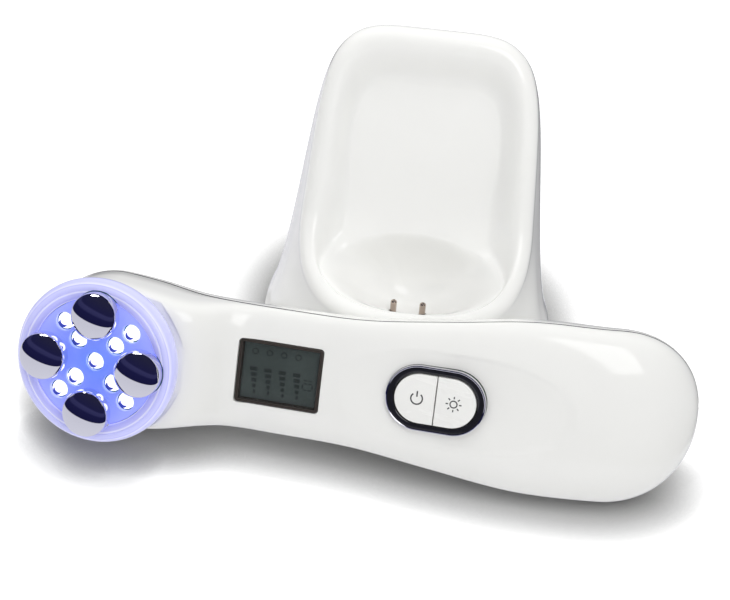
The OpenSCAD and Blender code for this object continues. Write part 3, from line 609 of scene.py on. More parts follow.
def wipe_marks_group():
    """Long faint wipe marks, as a mask from 0 to 1."""
    group, (vector, scale, *_), out = node_group(
        "Wipe marks", {"Vector": (0, 0, 0), "Scale": 40.0}, ["Marks"]
    )
    stretched = add(group, "Mapping", Vector=vector, Scale=(1.0, 1.0, 7.0)).outputs[0]
    lines = add(
        group, "TexNoise", Vector=stretched, Scale=scale, Detail=5.0, Roughness=0.65, Distortion=0.4
    ).outputs[0]
    keep = add(group, "MapRange", Value=lines, From_Min=0.52, From_Max=0.78)
    group.links.new(keep.outputs[0], out[0])
    return group


def radial_group():
    """Distance of the vector from its Z line, from 0 at Low to 1 at High."""
    group, (vector, low, high, *_), out = node_group(
        "Radial", {"Vector": (0, 0, 0), "Low": 0.0, "High": 0.02}, ["Share"]
    )
    flat = add(group, "VectorMath", {"operation": "MULTIPLY"}, i0=vector, i1=(1, 1, 0))
    size = add(group, "VectorMath", {"operation": "LENGTH"}, i0=flat.outputs[0]).outputs["Value"]
    share = add(group, "MapRange", Value=size, From_Min=low, From_Max=high)
    group.links.new(share.outputs[0], out[0])
    return group


GROUP_MAKERS = {"skin": moulded_skin_group, "wipe": wipe_marks_group, "radial": radial_group}
GROUPS = {}


def use_group(tree, name, **links):
    """The shared effect of that name, placed in a material; it is built on first use."""
    if name not in GROUPS:
        GROUPS[name] = GROUP_MAKERS[name]()
    return add(tree, "Group", {"node_tree": GROUPS[name]}, **links)


def new_finish(name):
    """A node material with its Principled shader."""
    material = bpy.data.materials.new(name)
    material.use_nodes = True
    tree = material.node_tree
    return material, tree, tree.nodes["Principled BSDF"]


def object_place(tree):
    """Object coordinates."""
    return tree.nodes.new("ShaderNodeTexCoord").outputs["Object"]


def tinted(tree, mask, low, high):
    """A colour from low to high by the mask."""
    mix = tree.nodes.new("ShaderNodeMix")
    mix.data_type = "RGBA"
    tree.links.new(mask, mix.inputs[0])
    mix.inputs[6].default_value = (*low, 1)
    mix.inputs[7].default_value = (*high, 1)
    return mix.outputs[2]


def banded(tree, share, stops):
    """A colour that runs through the (place, colour) stops as share goes from 0 to 1."""
    node = tree.nodes.new("ShaderNodeValToRGB")
    tree.links.new(share, node.inputs[0])
    elements = node.color_ramp.elements
    for k, (at, tone) in enumerate(stops):
        stop = elements[k] if k < 2 else elements.new(at)
        stop.position = at
        stop.color = (*tone, 1)
    return node.outputs[0]


def shade_of(base, factor):
    """The colour made darker or lighter."""
    return tuple(share_of(c * factor) for c in base)


def ranged(tree, mask, low, high):
    """The mask, from 0 to 1, mapped to low to high."""
    return add(tree, "MapRange", Value=mask, To_Min=low, To_Max=high).outputs[0]


def bumped(tree, height, strength, distance, shader):
    """Gives the shader a bump of that height."""
    bump = add(tree, "Bump", Height=height, Strength=strength, Distance=distance)
    tree.links.new(bump.outputs[0], shader.inputs["Normal"])


def skinned(name, base, spread, rough, scales, bump, height):
    """A base colour with a faint mottle, wipe marks in its gloss and a mould skin."""
    material, tree, shader = new_finish(name)
    place = object_place(tree)
    skin = use_group(tree, "skin", Vector=place, Scale=scales[0])
    wipe = use_group(tree, "wipe", Vector=place, Scale=scales[1])
    low, high = [shade_of(base, factor) for factor in spread]
    tree.links.new(tinted(tree, skin.outputs["Mottle"], low, high), shader.inputs["Base Color"])
    tree.links.new(ranged(tree, wipe.outputs[0], *rough), shader.inputs["Roughness"])
    bumped(tree, skin.outputs["Height"], bump, height, shader)
    return material


def plastic(name, base, rough, scale=60.0, bump=0.03):
    """Moulded plastic."""
    return skinned(name, base, (0.985, 1.015), rough, (scale, scale * 0.5), bump, 0.0002)


def metal(name, base, rough, scale=90.0, bump=0.02):
    """Polished or drawn metal."""
    material = skinned(name, base, (0.96, 1.03), rough, (scale, scale), bump, 0.0001)
    material.node_tree.nodes["Principled BSDF"].inputs["Metallic"].default_value = 1.0
    return material


def head_vector(tree, place):
    """Object coordinates turned into the head's own frame."""
    m = head_place()
    return add(
        tree,
        "Mapping",
        {"vector_type": "TEXTURE"},
        Vector=place,
        Location=m.to_translation(),
        Rotation=tuple(m.to_euler("XYZ")),
    ).outputs[0]


def lit_plastic(name, reach, shade, glow, rough, alpha=1.0):
    """Plastic lit from behind; shade makes its colour from the share of reach and the mottle."""
    material, tree, shader = new_finish(name)
    place = object_place(tree)
    low, high = reach
    local = head_vector(tree, place)
    radial = use_group(tree, "radial", Vector=local, Low=low * 0.001, High=high * 0.001)
    skin = use_group(tree, "skin", Vector=place, Scale=120.0)
    mottle = skin.outputs["Mottle"]
    colour_out = shade(tree, radial.outputs[0], mottle)
    tree.links.new(colour_out, shader.inputs["Base Color"])
    tree.links.new(colour_out, shader.inputs["Emission Color"])
    shader.inputs["Emission Strength"].default_value = glow
    gloss = ranged(tree, mottle, rough * 0.8, rough * 1.2)
    tree.links.new(gloss, shader.inputs["Roughness"])
    shader.inputs["Alpha"].default_value = alpha
    bumped(tree, skin.outputs["Height"], 0.03, 0.0002, shader)
    return material


def glowing_plastic(name, inner, outer, reach, glow, rough):
    """Lit plastic whose colour changes from inner to outer away from the head's centre."""

    def shade(tree, share, mottle):
        spread = maths(tree, "MULTIPLY_ADD", mottle, 0.25, share, clamp=True)
        return tinted(tree, spread, inner, outer)

    return lit_plastic(name, reach, shade, glow, rough)


# Painted highlights and painted shade for the lens's moulded steps: (share of the way out,
# brightness; over 1 is paler than the base).
LENS_PAINTED_RINGS = [
    (0.0, 0.8), (0.27, 0.78), (0.3, 1.25), (0.33, 0.84), (0.5, 0.9), (0.55, 1.3),
    (0.6, 0.96), (0.78, 1.04), (0.8, 0.82), (0.83, 1.25), (0.9, 1.02), (1.0, 1.12),
]


def lens_plastic(name, base):
    """The lens's lavender, lit from behind, with painted highlights and painted shade as pale and
    deep rings at its steps.
    """

    def painted_ring_tone(brightness):
        if brightness < 1:
            return (base[0] * brightness, base[1] * brightness, base[2])
        return tuple(c + (1 - c) * (brightness - 1) * 1.6 for c in base)

    def shade(tree, share, mottle):
        # Painted highlights and painted shade: pale and deep rings banded into the colour by
        # radius.
        return banded(tree, share, [(at, painted_ring_tone(b)) for at, b in LENS_PAINTED_RINGS])

    return lit_plastic(name, (17, 25.2), shade, 0.2, 0.1, alpha=0.92)


def display_panel(name, base):
    """The unlit panel, with a faint lighter cloud."""
    material, tree, shader = new_finish(name)
    place = object_place(tree)
    cloud = add(tree, "TexNoise", Vector=place, Scale=70.0, Detail=2.0).outputs[0]
    shade = tinted(tree, cloud, shade_of(base, 0.75), shade_of(base, 1.25))
    tree.links.new(shade, shader.inputs["Base Color"])
    tree.links.new(ranged(tree, cloud, 0.3, 0.45), shader.inputs["Roughness"])
    return material


def display_glass(name, low, high):
    """The clear window, faintly tinted."""
    material, tree, shader = new_finish(name)
    place = object_place(tree)
    wipe = use_group(tree, "wipe", Vector=place, Scale=60.0).outputs[0]
    tree.links.new(tinted(tree, wipe, low, high), shader.inputs["Base Color"])
    tree.links.new(ranged(tree, wipe, 0.03, 0.12), shader.inputs["Roughness"])
    shader.inputs["Alpha"].default_value = 0.16
    return material


PAINTS = {}


def paint(name):
    """The finish of that name, built on first use."""
    f = bpy.context.scene.toning_finishes
    makers = {
        "shell": (plastic, "White shell", f.shell, (0.08, 0.13)),
        "cradle": (plastic, "White cradle", f.cradle, (0.08, 0.14)),
        # Painted shade: the dark grey tongue stands for the shade inside the covers' joint.
        "tongue": (plastic, "Grey tongue", (0.045, 0.045, 0.05), (0.4, 0.5)),
        "lens": (lens_plastic, "Lavender lens", f.lens),
        "plate": (glowing_plastic, "Blue light plate", f.plate, f.plate_edge, (3, 22), 0.45, 0.25),
        "light": (glowing_plastic, "Lit light", f.light, f.light, (0, 20), 1.0, 0.1),
        # Painted shade: the dark blue crescents in the lights stand for the shadow of each hole's
        # rim.
        "cup": (plastic, "Light's blue cup", (0.06, 0.09, 0.6), (0.2, 0.3)),
        "chrome": (metal, "Polished electrode", f.chrome, (0.03, 0.08)),
        "rim": (metal, "Chrome rim", f.chrome, (0.05, 0.12)),
        "band": (plastic, "Black band", f.band, (0.08, 0.16)),
        "border": (plastic, "Display border", f.border, (0.2, 0.3)),
        "key": (plastic, "White key", shade_of(f.shell, 1.02), (0.25, 0.35)),
        "mark": (plastic, "Grey key mark", (0.045, 0.045, 0.05), (0.4, 0.5)),
        "nickel": (metal, "Nickel pin", f.nickel, (0.15, 0.3)),
        "steel": (metal, "Screw steel", (0.5, 0.5, 0.52), (0.25, 0.4)),
        "ballast": (metal, "Ballast steel", (0.35, 0.36, 0.38), (0.35, 0.5)),
        "gold": (metal, "Contact gold", (0.75, 0.52, 0.2), (0.15, 0.3)),
        "board": (plastic, "Green board", (0.01, 0.12, 0.05), (0.3, 0.45)),
        "grey": (plastic, "Grey carrier", (0.28, 0.28, 0.3), (0.4, 0.5)),
        "coil": (plastic, "Brown coil", (0.25, 0.09, 0.03), (0.35, 0.5)),
        "battery": (plastic, "Blue battery sleeve", (0.03, 0.09, 0.3), (0.25, 0.35)),
        "dark": (plastic, "Dark moulding", (0.02, 0.02, 0.022), (0.35, 0.5)),
        "rubber": (plastic, "Rubber foot", (0.03, 0.03, 0.03), (0.6, 0.75), 200.0, 0.2),
        "base": (plastic, "Matte base", shade_of(f.cradle, 0.96), (0.4, 0.5), 90.0, 0.1),
        "panel": (display_panel, "Display panel", f.panel),
        "glass": (display_glass, "Display glass", (0.03, 0.035, 0.035), (0.06, 0.06, 0.06)),
        "segment": (plastic, "Display segment", shade_of(f.panel, 0.42), (0.3, 0.4)),
    }
    if name not in PAINTS:
        maker, *values = makers[name]
        PAINTS[name] = maker(*values)
    return PAINTS[name]


# ------------------------------------------------------------------ handset form
class HandsetForm:
    """The outside of the handset: widths and heights along its length, in millimetres."""

    # Places along it, from the head's centre.
    ahead = -24  # just past the head's round end
    shoulder, neck = 12, 27
    flare, palm = 75, 125  # the sides begin to widen, and the middle of the grip
    front_turn, back_turn = 146, 142  # face and back begin to round off into the tail

    # How square its curves are; 2 is a plain ellipse.
    tail_n, end_n = 2.15, 2.4  # the tail, seen from the front and from the side
    nose_n = 2.2  # back of the head, seen from the side
    back_n = 2.5  # section of the rear cover

    # The thumb recess: its ends, how it starts, and how its floor curves.
    dish_start, dish_end, dish_hw = 62, 146, 19
    dish_fade, dish_lift = 8, 3
    dish_side, dish_rise, dish_fall = 0.0024, 0.0019, 0.028
    dish_fold = 0.05  # rounding of the fold where it meets the face
    wall_ahead, wall_fade = 4, 8  # where its sloping wall starts, and over what length
    key_drop = 0.4  # face at the keys, lower than at the display

    def __init__(self):
        self.h = in_mm(bpy.context.scene.toning_handset)
        self.f = in_mm(bpy.context.scene.toning_face)
        h, f = self.h, self.f
        # Each line runs through (place along, size) points.
        self.width_line = [
            (-10, h.head_r),
            (0, h.head_r),
            (self.shoulder, (h.head_r + h.neck_hw) / 2 + 0.5),
            (self.neck, h.neck_hw),
            (f.disp_x, h.waist_hw),
            (self.flare, h.waist_hw + 0.5),
            (f.key_x, h.grip_hw),
            (self.palm, (h.grip_hw + h.tail_hw) / 2 + 1.6),
            (h.tail_x, h.tail_hw),
            (h.tail_x + 1, h.tail_hw),
        ]
        self.split_line = [
            (self.ahead, h.split_head_z + 0.6),
            (0, h.split_head_z),
            (self.neck, (h.split_head_z + h.split_waist_z) / 2),
            (f.disp_x, h.split_waist_z),
            (f.key_x, h.split_grip_z),
            (135, (h.split_grip_z + h.split_tail_z) / 2 - 0.3),
            (h.tail_x, h.split_tail_z),
            (h.body_len, h.split_end_z),
            (h.body_len + 12, h.split_end_z - 6),
        ]

        def seat(x):
            return h.seat_z + math.tan(h.tilt) * x

        seat_end = 24.5
        self.crown_line = [
            (self.ahead, seat(self.ahead) + 1.5),
            (0, seat(0) + 1.5),
            (18, seat(18) + 1.4),
            (seat_end, seat(seat_end) - 0.1),
            (30, seat(seat_end) - 3.1),
            (36, h.face_z + 2.6),
            (42, h.face_z + 0.4),
            (47, h.face_z),
            (f.disp_x, h.face_z),
            (self.flare, h.face_z - 0.2),
            (f.key_x, h.face_z - self.key_drop),
            (self.palm, h.face_z - 1.5),
            (h.tail_x, h.tail_face_z),
            (166, h.tail_face_z - 3.2),
            (h.body_len, h.tail_face_z - 7),
        ]
        self.back_line = [
            (self.ahead, h.back_head_z + 0.7),
            (0, h.back_head_z),
            (self.neck, h.back_head_z - 2.4),
            (f.disp_x, h.back_waist_z),
            (f.key_x, (h.back_waist_z + h.back_tail_z) / 2 + 0.6),
            (130, h.back_tail_z + 1.4),
            (h.tail_x, h.back_tail_z),
            (h.body_len, h.back_tail_z),
        ]
        self.square_line = [
            (self.ahead, 9), (0, 9), (18, 8), (30, 4.2), (42, 2.9),
            (f.disp_x, 2.7), (f.key_x, 2.5), (h.body_len, 2.4),
        ]

    def half_width(self, x):
        """Half the width at x."""
        h = self.h
        if x < 0:
            return math.sqrt(max(h.head_r**2 - x * x, 0))
        taper = round_off(x, h.tail_x, h.body_len, self.tail_n)
        return smooth_line(self.width_line, min(x, h.tail_x)) * taper

    def split(self, x):
        """Height of the parting line at x."""
        return smooth_line(self.split_line, x)

    def front(self, x):
        """Height of the face at x, before the thumb recess."""
        s = self.split(x)
        fall = round_off(x, self.front_turn, self.h.body_len, self.end_n)
        return s + (smooth_line(self.crown_line, x) - s) * fall

    def back(self, x):
        """Height of the back at x."""
        h, s = self.h, self.split(x)
        b = smooth_line(self.back_line, x)
        fall = round_off(x, self.back_turn, h.body_len, self.end_n)
        return s + (b - s) * fall * round_off(-x, 0, h.head_r, self.nose_n)

    def recess(self, x, y):
        """Height of the floor of the thumb recess."""
        past_keys = x - self.f.key_x
        rise = -self.dish_fall * past_keys if past_keys > 0 else self.dish_rise * past_keys**2
        lowest = self.h.face_z - self.key_drop - self.h.recess_d
        return lowest + self.dish_side * y * y + rise

    def dished(self, x, y, z):
        """The height z, pressed down to the floor of the thumb recess where that is lower."""
        h = self.h
        if not self.dish_start < x < self.dish_end or abs(y) >= self.dish_hw:
            return z
        fade = min((x - self.dish_start) / self.dish_fade, 1)
        floor = self.recess(x, y) + (1 - fade) * self.dish_lift
        step = h.recess_step * share_of((x - self.f.key_x + self.wall_ahead) / self.wall_fade)
        floor -= step * share_of((z - floor) / h.recess_edge)
        return soft_min(z, floor, self.dish_fold)

    def section(self, x, up, arcs, inner_arcs):
        """The closed section at x: rim, outside, rim, inside. up is 1 in front and -1 behind."""
        h = self.h
        w, s = self.half_width(x), self.split(x)
        n = smooth_line(self.square_line, x) if up > 0 else self.back_n
        height = (self.front(x) if up > 0 else self.back(x)) - s
        lip = min(h.lip, abs(height) / 4, w / 4)
        edge_z = s + up * h.gap / 2
        thin = 0.02  # the least half width of the inside

        def skin(a):
            y = w * signed_power(math.cos(a), 2 / n)
            z = s + height * max(math.sin(a), 0) ** (2 / n)
            return y, self.dished(x, y, z) if up > 0 else z

        rim = [(w - lip, edge_z), (w - lip * 0.3, edge_z + up * lip * 0.3), (w, edge_z + up * lip)]
        points = list(rim)
        start = 0.012  # radians past the rim
        for k in range(arcs + 1):
            y, z = skin(start + (math.pi - 2 * start) * k / arcs)
            in_rim = abs(z - s) < h.gap / 2 + lip
            points.append((y, edge_z + up * lip if in_rim else z))
        points += [(-y, z) for y, z in reversed(rim)]
        outer = [Vector((x, y, z)) for y, z in points]

        t, whole = h.wall, h.body_len + h.head_r
        xi = -h.head_r + t + (x + h.head_r) * (whole - 2 * t) / whole
        si = self.split(xi)
        narrower = max(w - t, thin) / max(w, thin)
        inner = []
        for k in range(inner_arcs + 1):
            y, z = skin(math.pi - math.pi * k / inner_arcs)
            reach = abs(z - s)
            zi = si + up * max(reach - t * min(reach / 3, 1), 0.001 * t)
            if k in (0, inner_arcs):
                zi = si + up * h.gap / 2
            inner.append(Vector((xi, y * narrower, zi)))
        return outer + inner

    def stations(self):
        """Places along the handset, close together where it curves or folds."""
        h = self.h
        wide, close, grip = 1.2, 0.7, 60  # steps at the neck and from the grip on
        head = [-h.head_r * math.cos(math.radians(a)) for a in range(0, 90, 4)]
        neck = [k * wide for k in range(50)]
        middle = [grip + k * close for k in range(122)]
        start = middle[-1] + close
        tail = [start + (h.body_len - start) * math.sin(math.radians(a)) for a in range(0, 91, 3)]
        return head + neck + middle + tail

    def cover(self, up):
        """The front cover, or the rear one where up is -1."""
        xs = self.stations()
        sections = [self.section(x, up, 120, 30) for x in xs]
        n = len(sections[0])
        return moulded_sheet(len(xs) - 1, n, lambda i, j: sections[i][j % n])

    def screw_seat(self, x, y):
        """Height of the underside of a housing screw's head."""
        s, w, sunk = self.split(x), self.half_width(x), 2.2
        round_back = (1 - abs(y / w) ** self.back_n) ** (1 / self.back_n)
        return s + (self.back(x) - s) * round_back + sunk


# Where the housing screws are: along the handset and to its side.
SCREWS = [(x, side * y) for x, y in ((45, 13.8), (148, 17)) for side in (1, -1)]


class TONING_OT_front_cover(bpy.types.Operator):
    """Builds the front cover with its window, key opening, recess and head seat"""

    bl_idname = "toning.front_cover"
    bl_label = "Front cover"

    def execute(self, context):
        form = HandsetForm()
        f, place = form.f, handset_place()
        lens_r = in_mm(context.scene.toning_head).lens_r
        cover = plain_object("front_cover", form.cover(1), place)
        bore_r, bore_d, lens_room = 20.6, 7.5, 12
        seat = stacked_rods([(bore_r, -bore_d, 0), (lens_r + FIT, 0, lens_room)], 120)
        cut_away(cover, seat, head_place())
        window = rounded_rect(f.disp_l + FIT, f.disp_w + FIT, 1.2)
        keys = stadium(f.rim_r + 0.1, f.key_c)
        low, high = 2, 14  # the cutters reach through the face
        for opening, x in ((window, f.disp_x), (keys, f.key_x)):
            cut_away(cover, moved(slab(corners_of(opening), low, high), x=x), place)
        finished(cover, "handset", "shell_white", "shell", ["front_shell"], 28)
        return {"FINISHED"}


class TONING_OT_rear_cover(bpy.types.Operator):
    """Builds the rear cover with its screw holes and charging sockets"""

    bl_idname = "toning.rear_cover"
    bl_label = "Rear cover"

    def execute(self, context):
        form, place = HandsetForm(), handset_place()
        cover = plain_object("rear_cover", form.cover(-1), place)
        head_r, shaft_r, socket_r = form.h.screw_head_r + FIT, 1.4, 1.75
        low, high = -30, 10  # the cutters reach through the back
        for x, y in SCREWS:
            top = form.screw_seat(x, y)
            hole = stacked_rods([(head_r, low, top), (shaft_r, top, high)])
            cut_away(cover, moved(hole, x, y), place)
        for side in (-1, 1):
            cut_away(cover, rod(socket_r, -6, 8), place @ socket_place(side))
        finished(cover, "handset", "shell_white", "shell", ["rear_shell"], 28)
        return {"FINISHED"}


class TONING_OT_joint_tongue(bpy.types.Operator):
    """Builds the tongue in the joint of the two covers, dark grey as painted shade, so that the
    joint shows as a thin line
    """

    bl_idname = "toning.joint_tongue"
    bl_label = "Joint tongue"

    def execute(self, context):
        form = HandsetForm()
        h, xs = form.h, form.stations()
        walk = [(x, form.half_width(x)) for x in xs]
        walk += [(x, -y) for x, y in walk[-2:0:-1]]
        slack, deep = 0.02, 0.8
        n, half, outside = len(walk), h.gap / 2 - slack, -h.tongue
        inside = outside - deep
        section = [(outside, -half), (outside, half), (inside, half), (inside, -half)]

        def point(i, j):
            (x0, y0), (x, y), (x1, y1) = walk[i % n - 1], walk[i % n], walk[(i + 1) % n]
            along = Vector((x1 - x0, y1 - y0)).normalized()
            out, up = section[j % 4]
            return Vector((x - along.y * out, y + along.x * out, form.split(x) + up))

        tongue = moulded_sheet(n, 4, point)
        # Painted shade: the tongue's dark grey stands for the shade inside the joint.
        whole_piece("joint_tongue", tongue, handset_place(), "handset", "shell_white", "tongue")
        return {"FINISHED"}


# ------------------------------------------------------------------ head
def dome_spots(head):
    """Where the four electrodes stand."""
    return [polar(head.pitch_r, k * math.pi / 2) for k in range(4)]


def light_spots(head):
    """Where the nine lights stand, in an X."""
    diagonals = [math.pi / 4 + k * math.pi / 2 for k in range(4)]
    return [(0, 0), *[polar(r, a) for a in diagonals for r in (head.led_in_r, head.led_out_r)]]


class TONING_OT_lens(bpy.types.Operator):
    """Builds the lavender lens with its stepped rim, cut back round the electrodes"""

    bl_idname = "toning.lens"
    bl_label = "Lens"

    def execute(self, context):
        head = in_mm(context.scene.toning_head)
        r, rim, t, top = head.lens_r, head.rim_r, head.lens_t, head.lens_h
        plate_foot = head.plate_h - head.plate_t - 0.6
        wall = [
            (head.seat_r, 0.02), (r - 0.62, 3.5), (r - 0.5, 3.62), (r - 0.35, 3.75),
            (r - 0.12, 4.7), (r, 5.7), (r - 0.02, 6.2), (r - 0.16, 6.8), (r - 0.36, 7.3),
            (r - 0.62, 7.8), (r - 0.95, 8.22), (r - 1.32, 8.58), (r - 1.7, 8.85),
        ]
        stepped_top = [
            (r - 2.1, top - 0.13), (r - 2.5, top - 0.03), (r - 2.9, top), (r - 3.02, top - 0.12),
            (r - 3.2, top - 0.12), (r - 3.32, top - 0.01), (rim + 1.6, top - 0.1),
            (rim + 1.1, top - 0.22), (rim + 0.6, top - 0.42), (rim + 0.2, top - 0.78),
        ]
        inside = [
            (rim, head.plate_h + 0.2), (rim, plate_foot), (rim + 0.9, plate_foot),
            (r - t, 5.6), (r - 0.6 - t, 3.4), (head.seat_r - t, 0.02),
        ]
        body = turned_body(wall + stepped_top + inside, 160, closed=True)
        lens = plain_object("lens", body, head_place())
        for x, y in dome_spots(head):
            cut_away(lens, moved(rod(head.dome_r + 0.2, -1, 20, 64), x, y), head_place())
        finished(lens, "handset", "lens_lavender", "lens", ["head_lens"], 25)
        return {"FINISHED"}


class TONING_OT_light_plate(bpy.types.Operator):
    """Builds the light plate with its holes, raised hole rims and electrode bosses"""

    bl_idname = "toning.light_plate"
    bl_label = "Light plate"

    def execute(self, context):
        # Builds the light plate with its holes, their chamfered edges and the electrode bosses
        head, place = in_mm(context.scene.toning_head), head_place()
        low, top, edge = head.plate_h - head.plate_t, head.plate_h, head.rim_r - 0.15
        hole_r, hole_rim_r = head.led_r + FIT, head.led_r + 0.55
        stem_r, boss_r, boss_top = head.stem_r + 0.15, head.boss_r, head.dome_z - 0.02
        disc = turned_body(
            [(0, low), (edge, low), (edge, top - 0.1), (edge - 0.1, top), (0, top)], 120
        )
        plate = plain_object("light_plate_disc", disc, place)
        for x, y in light_spots(head):
            profile = [(0, low - 1), (hole_r, low - 1), (hole_r, top - 0.25)]
            profile += [(hole_rim_r, top + 0.02), (hole_rim_r, top + 1), (0, top + 1)]
            cut_away(plate, moved(turned_body(profile, 48), x, y), place)
        for x, y in dome_spots(head):
            cut_away(plate, moved(rod(stem_r, low - 1, top + 1), x, y), place)
        finished(plate, "handset", "plate_blue", "plate", ["light_plate"])
        profile = [
            (stem_r, top + 0.02), (boss_r, top + 0.02), (boss_r, head.dome_z - 0.25),
            (boss_r - 0.12, head.dome_z - 0.06), (boss_r - 0.35, boss_top), (stem_r, boss_top),
        ]
        bosses = merged([moved(turned_body(profile, 64, True), x, y) for x, y in dome_spots(head)])
        whole_piece("electrode_bosses", bosses, place, "handset", "plate_blue", "plate")
        return {"FINISHED"}


def crescent(r, start, sweep, swell, n=16):
    """Outline of a crescent on an arc of radius r, in degrees, thickest in its middle."""
    outer, inner = [], []
    for k in range(n + 1):
        x, y = polar(r, math.radians(start + k * sweep / n))
        half = swell * math.sin(math.pi * k / n) + 0.04
        outer.append((x * (1 + half), y * (1 + half)))
        inner.append((x * (1 - half), y * (1 - half)))
    return outer + inner[::-1]


class TONING_OT_lights(bpy.types.Operator):
    """Builds the lights and, in each, a dark blue crescent of painted shade"""

    bl_idname = "toning.lights"
    bl_label = "Lights"

    def execute(self, context):
        head = in_mm(context.scene.toning_head)
        r, top, flange_r = head.led_r, head.led_top, head.led_r + 0.35
        profile = [(0, 0.02), (flange_r, 0.02), (flange_r, 1.0), (r, 1.05), (r, top - r)]
        for k in range(10, 90, 10):
            x, z = polar(r, math.radians(k))
            profile.append((x, top - r + z))
        profile.append((0, top))
        # Painted shade: a dark blue crescent in each light stands for the shadow of its hole's rim.
        mark = crescent(r=1.25, start=160, sweep=160, swell=0.34)
        spots = light_spots(head)
        bulbs = merged([moved(turned_body(profile, 48), x, y) for x, y in spots])
        cups = merged([moved(slab(mark, top - 1.0, top + 0.02), x, y) for x, y in spots])
        place = head_place()
        whole_piece("lights", bulbs, place, "handset", "led_white", "light", ["leds"], 50)
        whole_piece("light_cups", cups, place, "handset", "plate_blue", "cup", (), 40)
        return {"FINISHED"}


class TONING_OT_electrodes(bpy.types.Operator):
    """Builds the polished dome electrodes with a rolled lower edge"""

    bl_idname = "toning.electrodes"
    bl_label = "Electrodes"

    def execute(self, context):
        head = in_mm(context.scene.toning_head)
        r, z, skirt = head.dome_r, head.dome_z, head.skirt_h
        core_r, core_d = head.stem_r - 1.2, 3.4
        profile = [
            (0, 0), (core_r, 0), (core_r, core_d), (head.stem_r, core_d), (head.stem_r, z),
            (r - 0.45, z), (r - 0.18, z + 0.06), (r - 0.03, z + 0.2), (r, z + 0.42),
            (r, z + skirt * 0.7),
        ]
        for a in [math.radians(k) for k in range(0, 91, 3)]:
            profile.append((r * math.cos(a), z + skirt + head.dome_h * math.sin(a)))
        domes = merged([moved(turned_body(profile), x, y) for x, y in dome_spots(head)])
        dressing = ("handset", "electrode_chrome", "chrome", ["electrodes"], 40)
        whole_piece("dome_electrodes", domes, head_place(), *dressing)
        return {"FINISHED"}


# ------------------------------------------------------------------ display and keys
class TONING_OT_display(bpy.types.Operator):
    """Builds the display: border, clear window, panel and its segments"""

    bl_idname = "toning.display"
    bl_label = "Display"

    def execute(self, context):
        h, f = in_mm(context.scene.toning_handset), in_mm(context.scene.toning_face)
        top, b, foot, low, ledge = h.face_z - 0.05, f.border, h.face_z - f.glass_d, 5.2, 0.25
        border = frame_ring(rounded_rect(f.disp_l, f.disp_w, 1.05), [
            (0, low), (0, top - 0.25), (-0.07, top - 0.07), (-0.22, top), (-b * 0.4, top),
            (-b * 0.48, top - 0.16), (-b * 0.6, top - 0.16), (-b * 0.7, top - 0.02),
            (-b * 0.92, top - 0.02), (-b, top - 0.1), (-b, foot), (-b - ledge, foot),
            (-b - ledge, low),
        ])
        l, w = f.disp_l - 2 * b, f.disp_w - 2 * b
        glass = corners_of(rounded_rect(l - 0.1, w - 0.1, 0.55))
        panel = corners_of(rounded_rect(l - 0.6, w - 0.6, 0.2))
        pieces = [
            ("display_border", border, "frame_dark", "border", ["display_frame"]),
            ("display_glass", slab(glass, foot, h.face_z - 0.2, 0.12, 2),
             "window_dark", "glass", ["display_window"]),
            ("display_panel", slab(panel, 5.1, foot - 0.12, 0.05, 1),
             "lcd_grey", "panel", ["display_module"]),
            ("display_segments", display_segments(l - 3.0, w - 3.0, foot - 0.1),
             "lcd_grey", "segment", ()),
        ]
        for name, bm, slot, finish, nodes in pieces:
            whole_piece(name, bm, place_on_face(f.disp_x), "handset", slot, finish, nodes)
        return {"FINISHED"}


def display_segments(length_x, width_y, z):
    """Faint unlit signs: level bars of rising height, a ring each, and a plain number."""

    def bar(x, y, long_x, wide_y):
        outline = corners_of(rounded_rect(long_x, wide_y, 0.14, 3))
        return moved(slab(outline, z, z + PRINT_H), x, y)

    parts = []
    tallest, bar_w, bar_pitch, row_pitch = 2.3, 1.2, 1.75, 4.4
    ring_t = 0.35
    for row in range(4):
        x = -length_x / 2 + 2.2 + row * row_pitch
        for k in range(5):
            tall = 0.7 + 0.4 * k
            y = -width_y / 2 + 1.0 + k * bar_pitch
            parts.append(bar(x + (tallest - tall) / 2, y, tall, bar_w))
        profile = [(0, z), (0, z + PRINT_H), (-ring_t, z + PRINT_H), (-ring_t, z)]
        parts.append(moved(frame_ring(stadium(1.0, 0.01, 10), profile), x, width_y / 2 - 1.4))
    x, tall, wide, thick = length_x / 2 - 1.6, 1.5, 2.0, 0.4
    for digit, lit in enumerate(("rt rb", "lt lb rt rb top low")):
        y = 0.4 - digit * 3.0
        for name in lit.split():
            if name in ("top", "low"):
                side = 1 if name == "low" else -1
                parts.append(bar(x + side * tall, y, thick, wide - 0.5))
            else:
                across, along = -1 if name[0] == "r" else 1, -1 if name[1] == "t" else 1
                spot = (x + along * tall / 2, y + across * wide / 2)
                parts.append(bar(*spot, tall - 0.4, thick))
    return merged(parts)


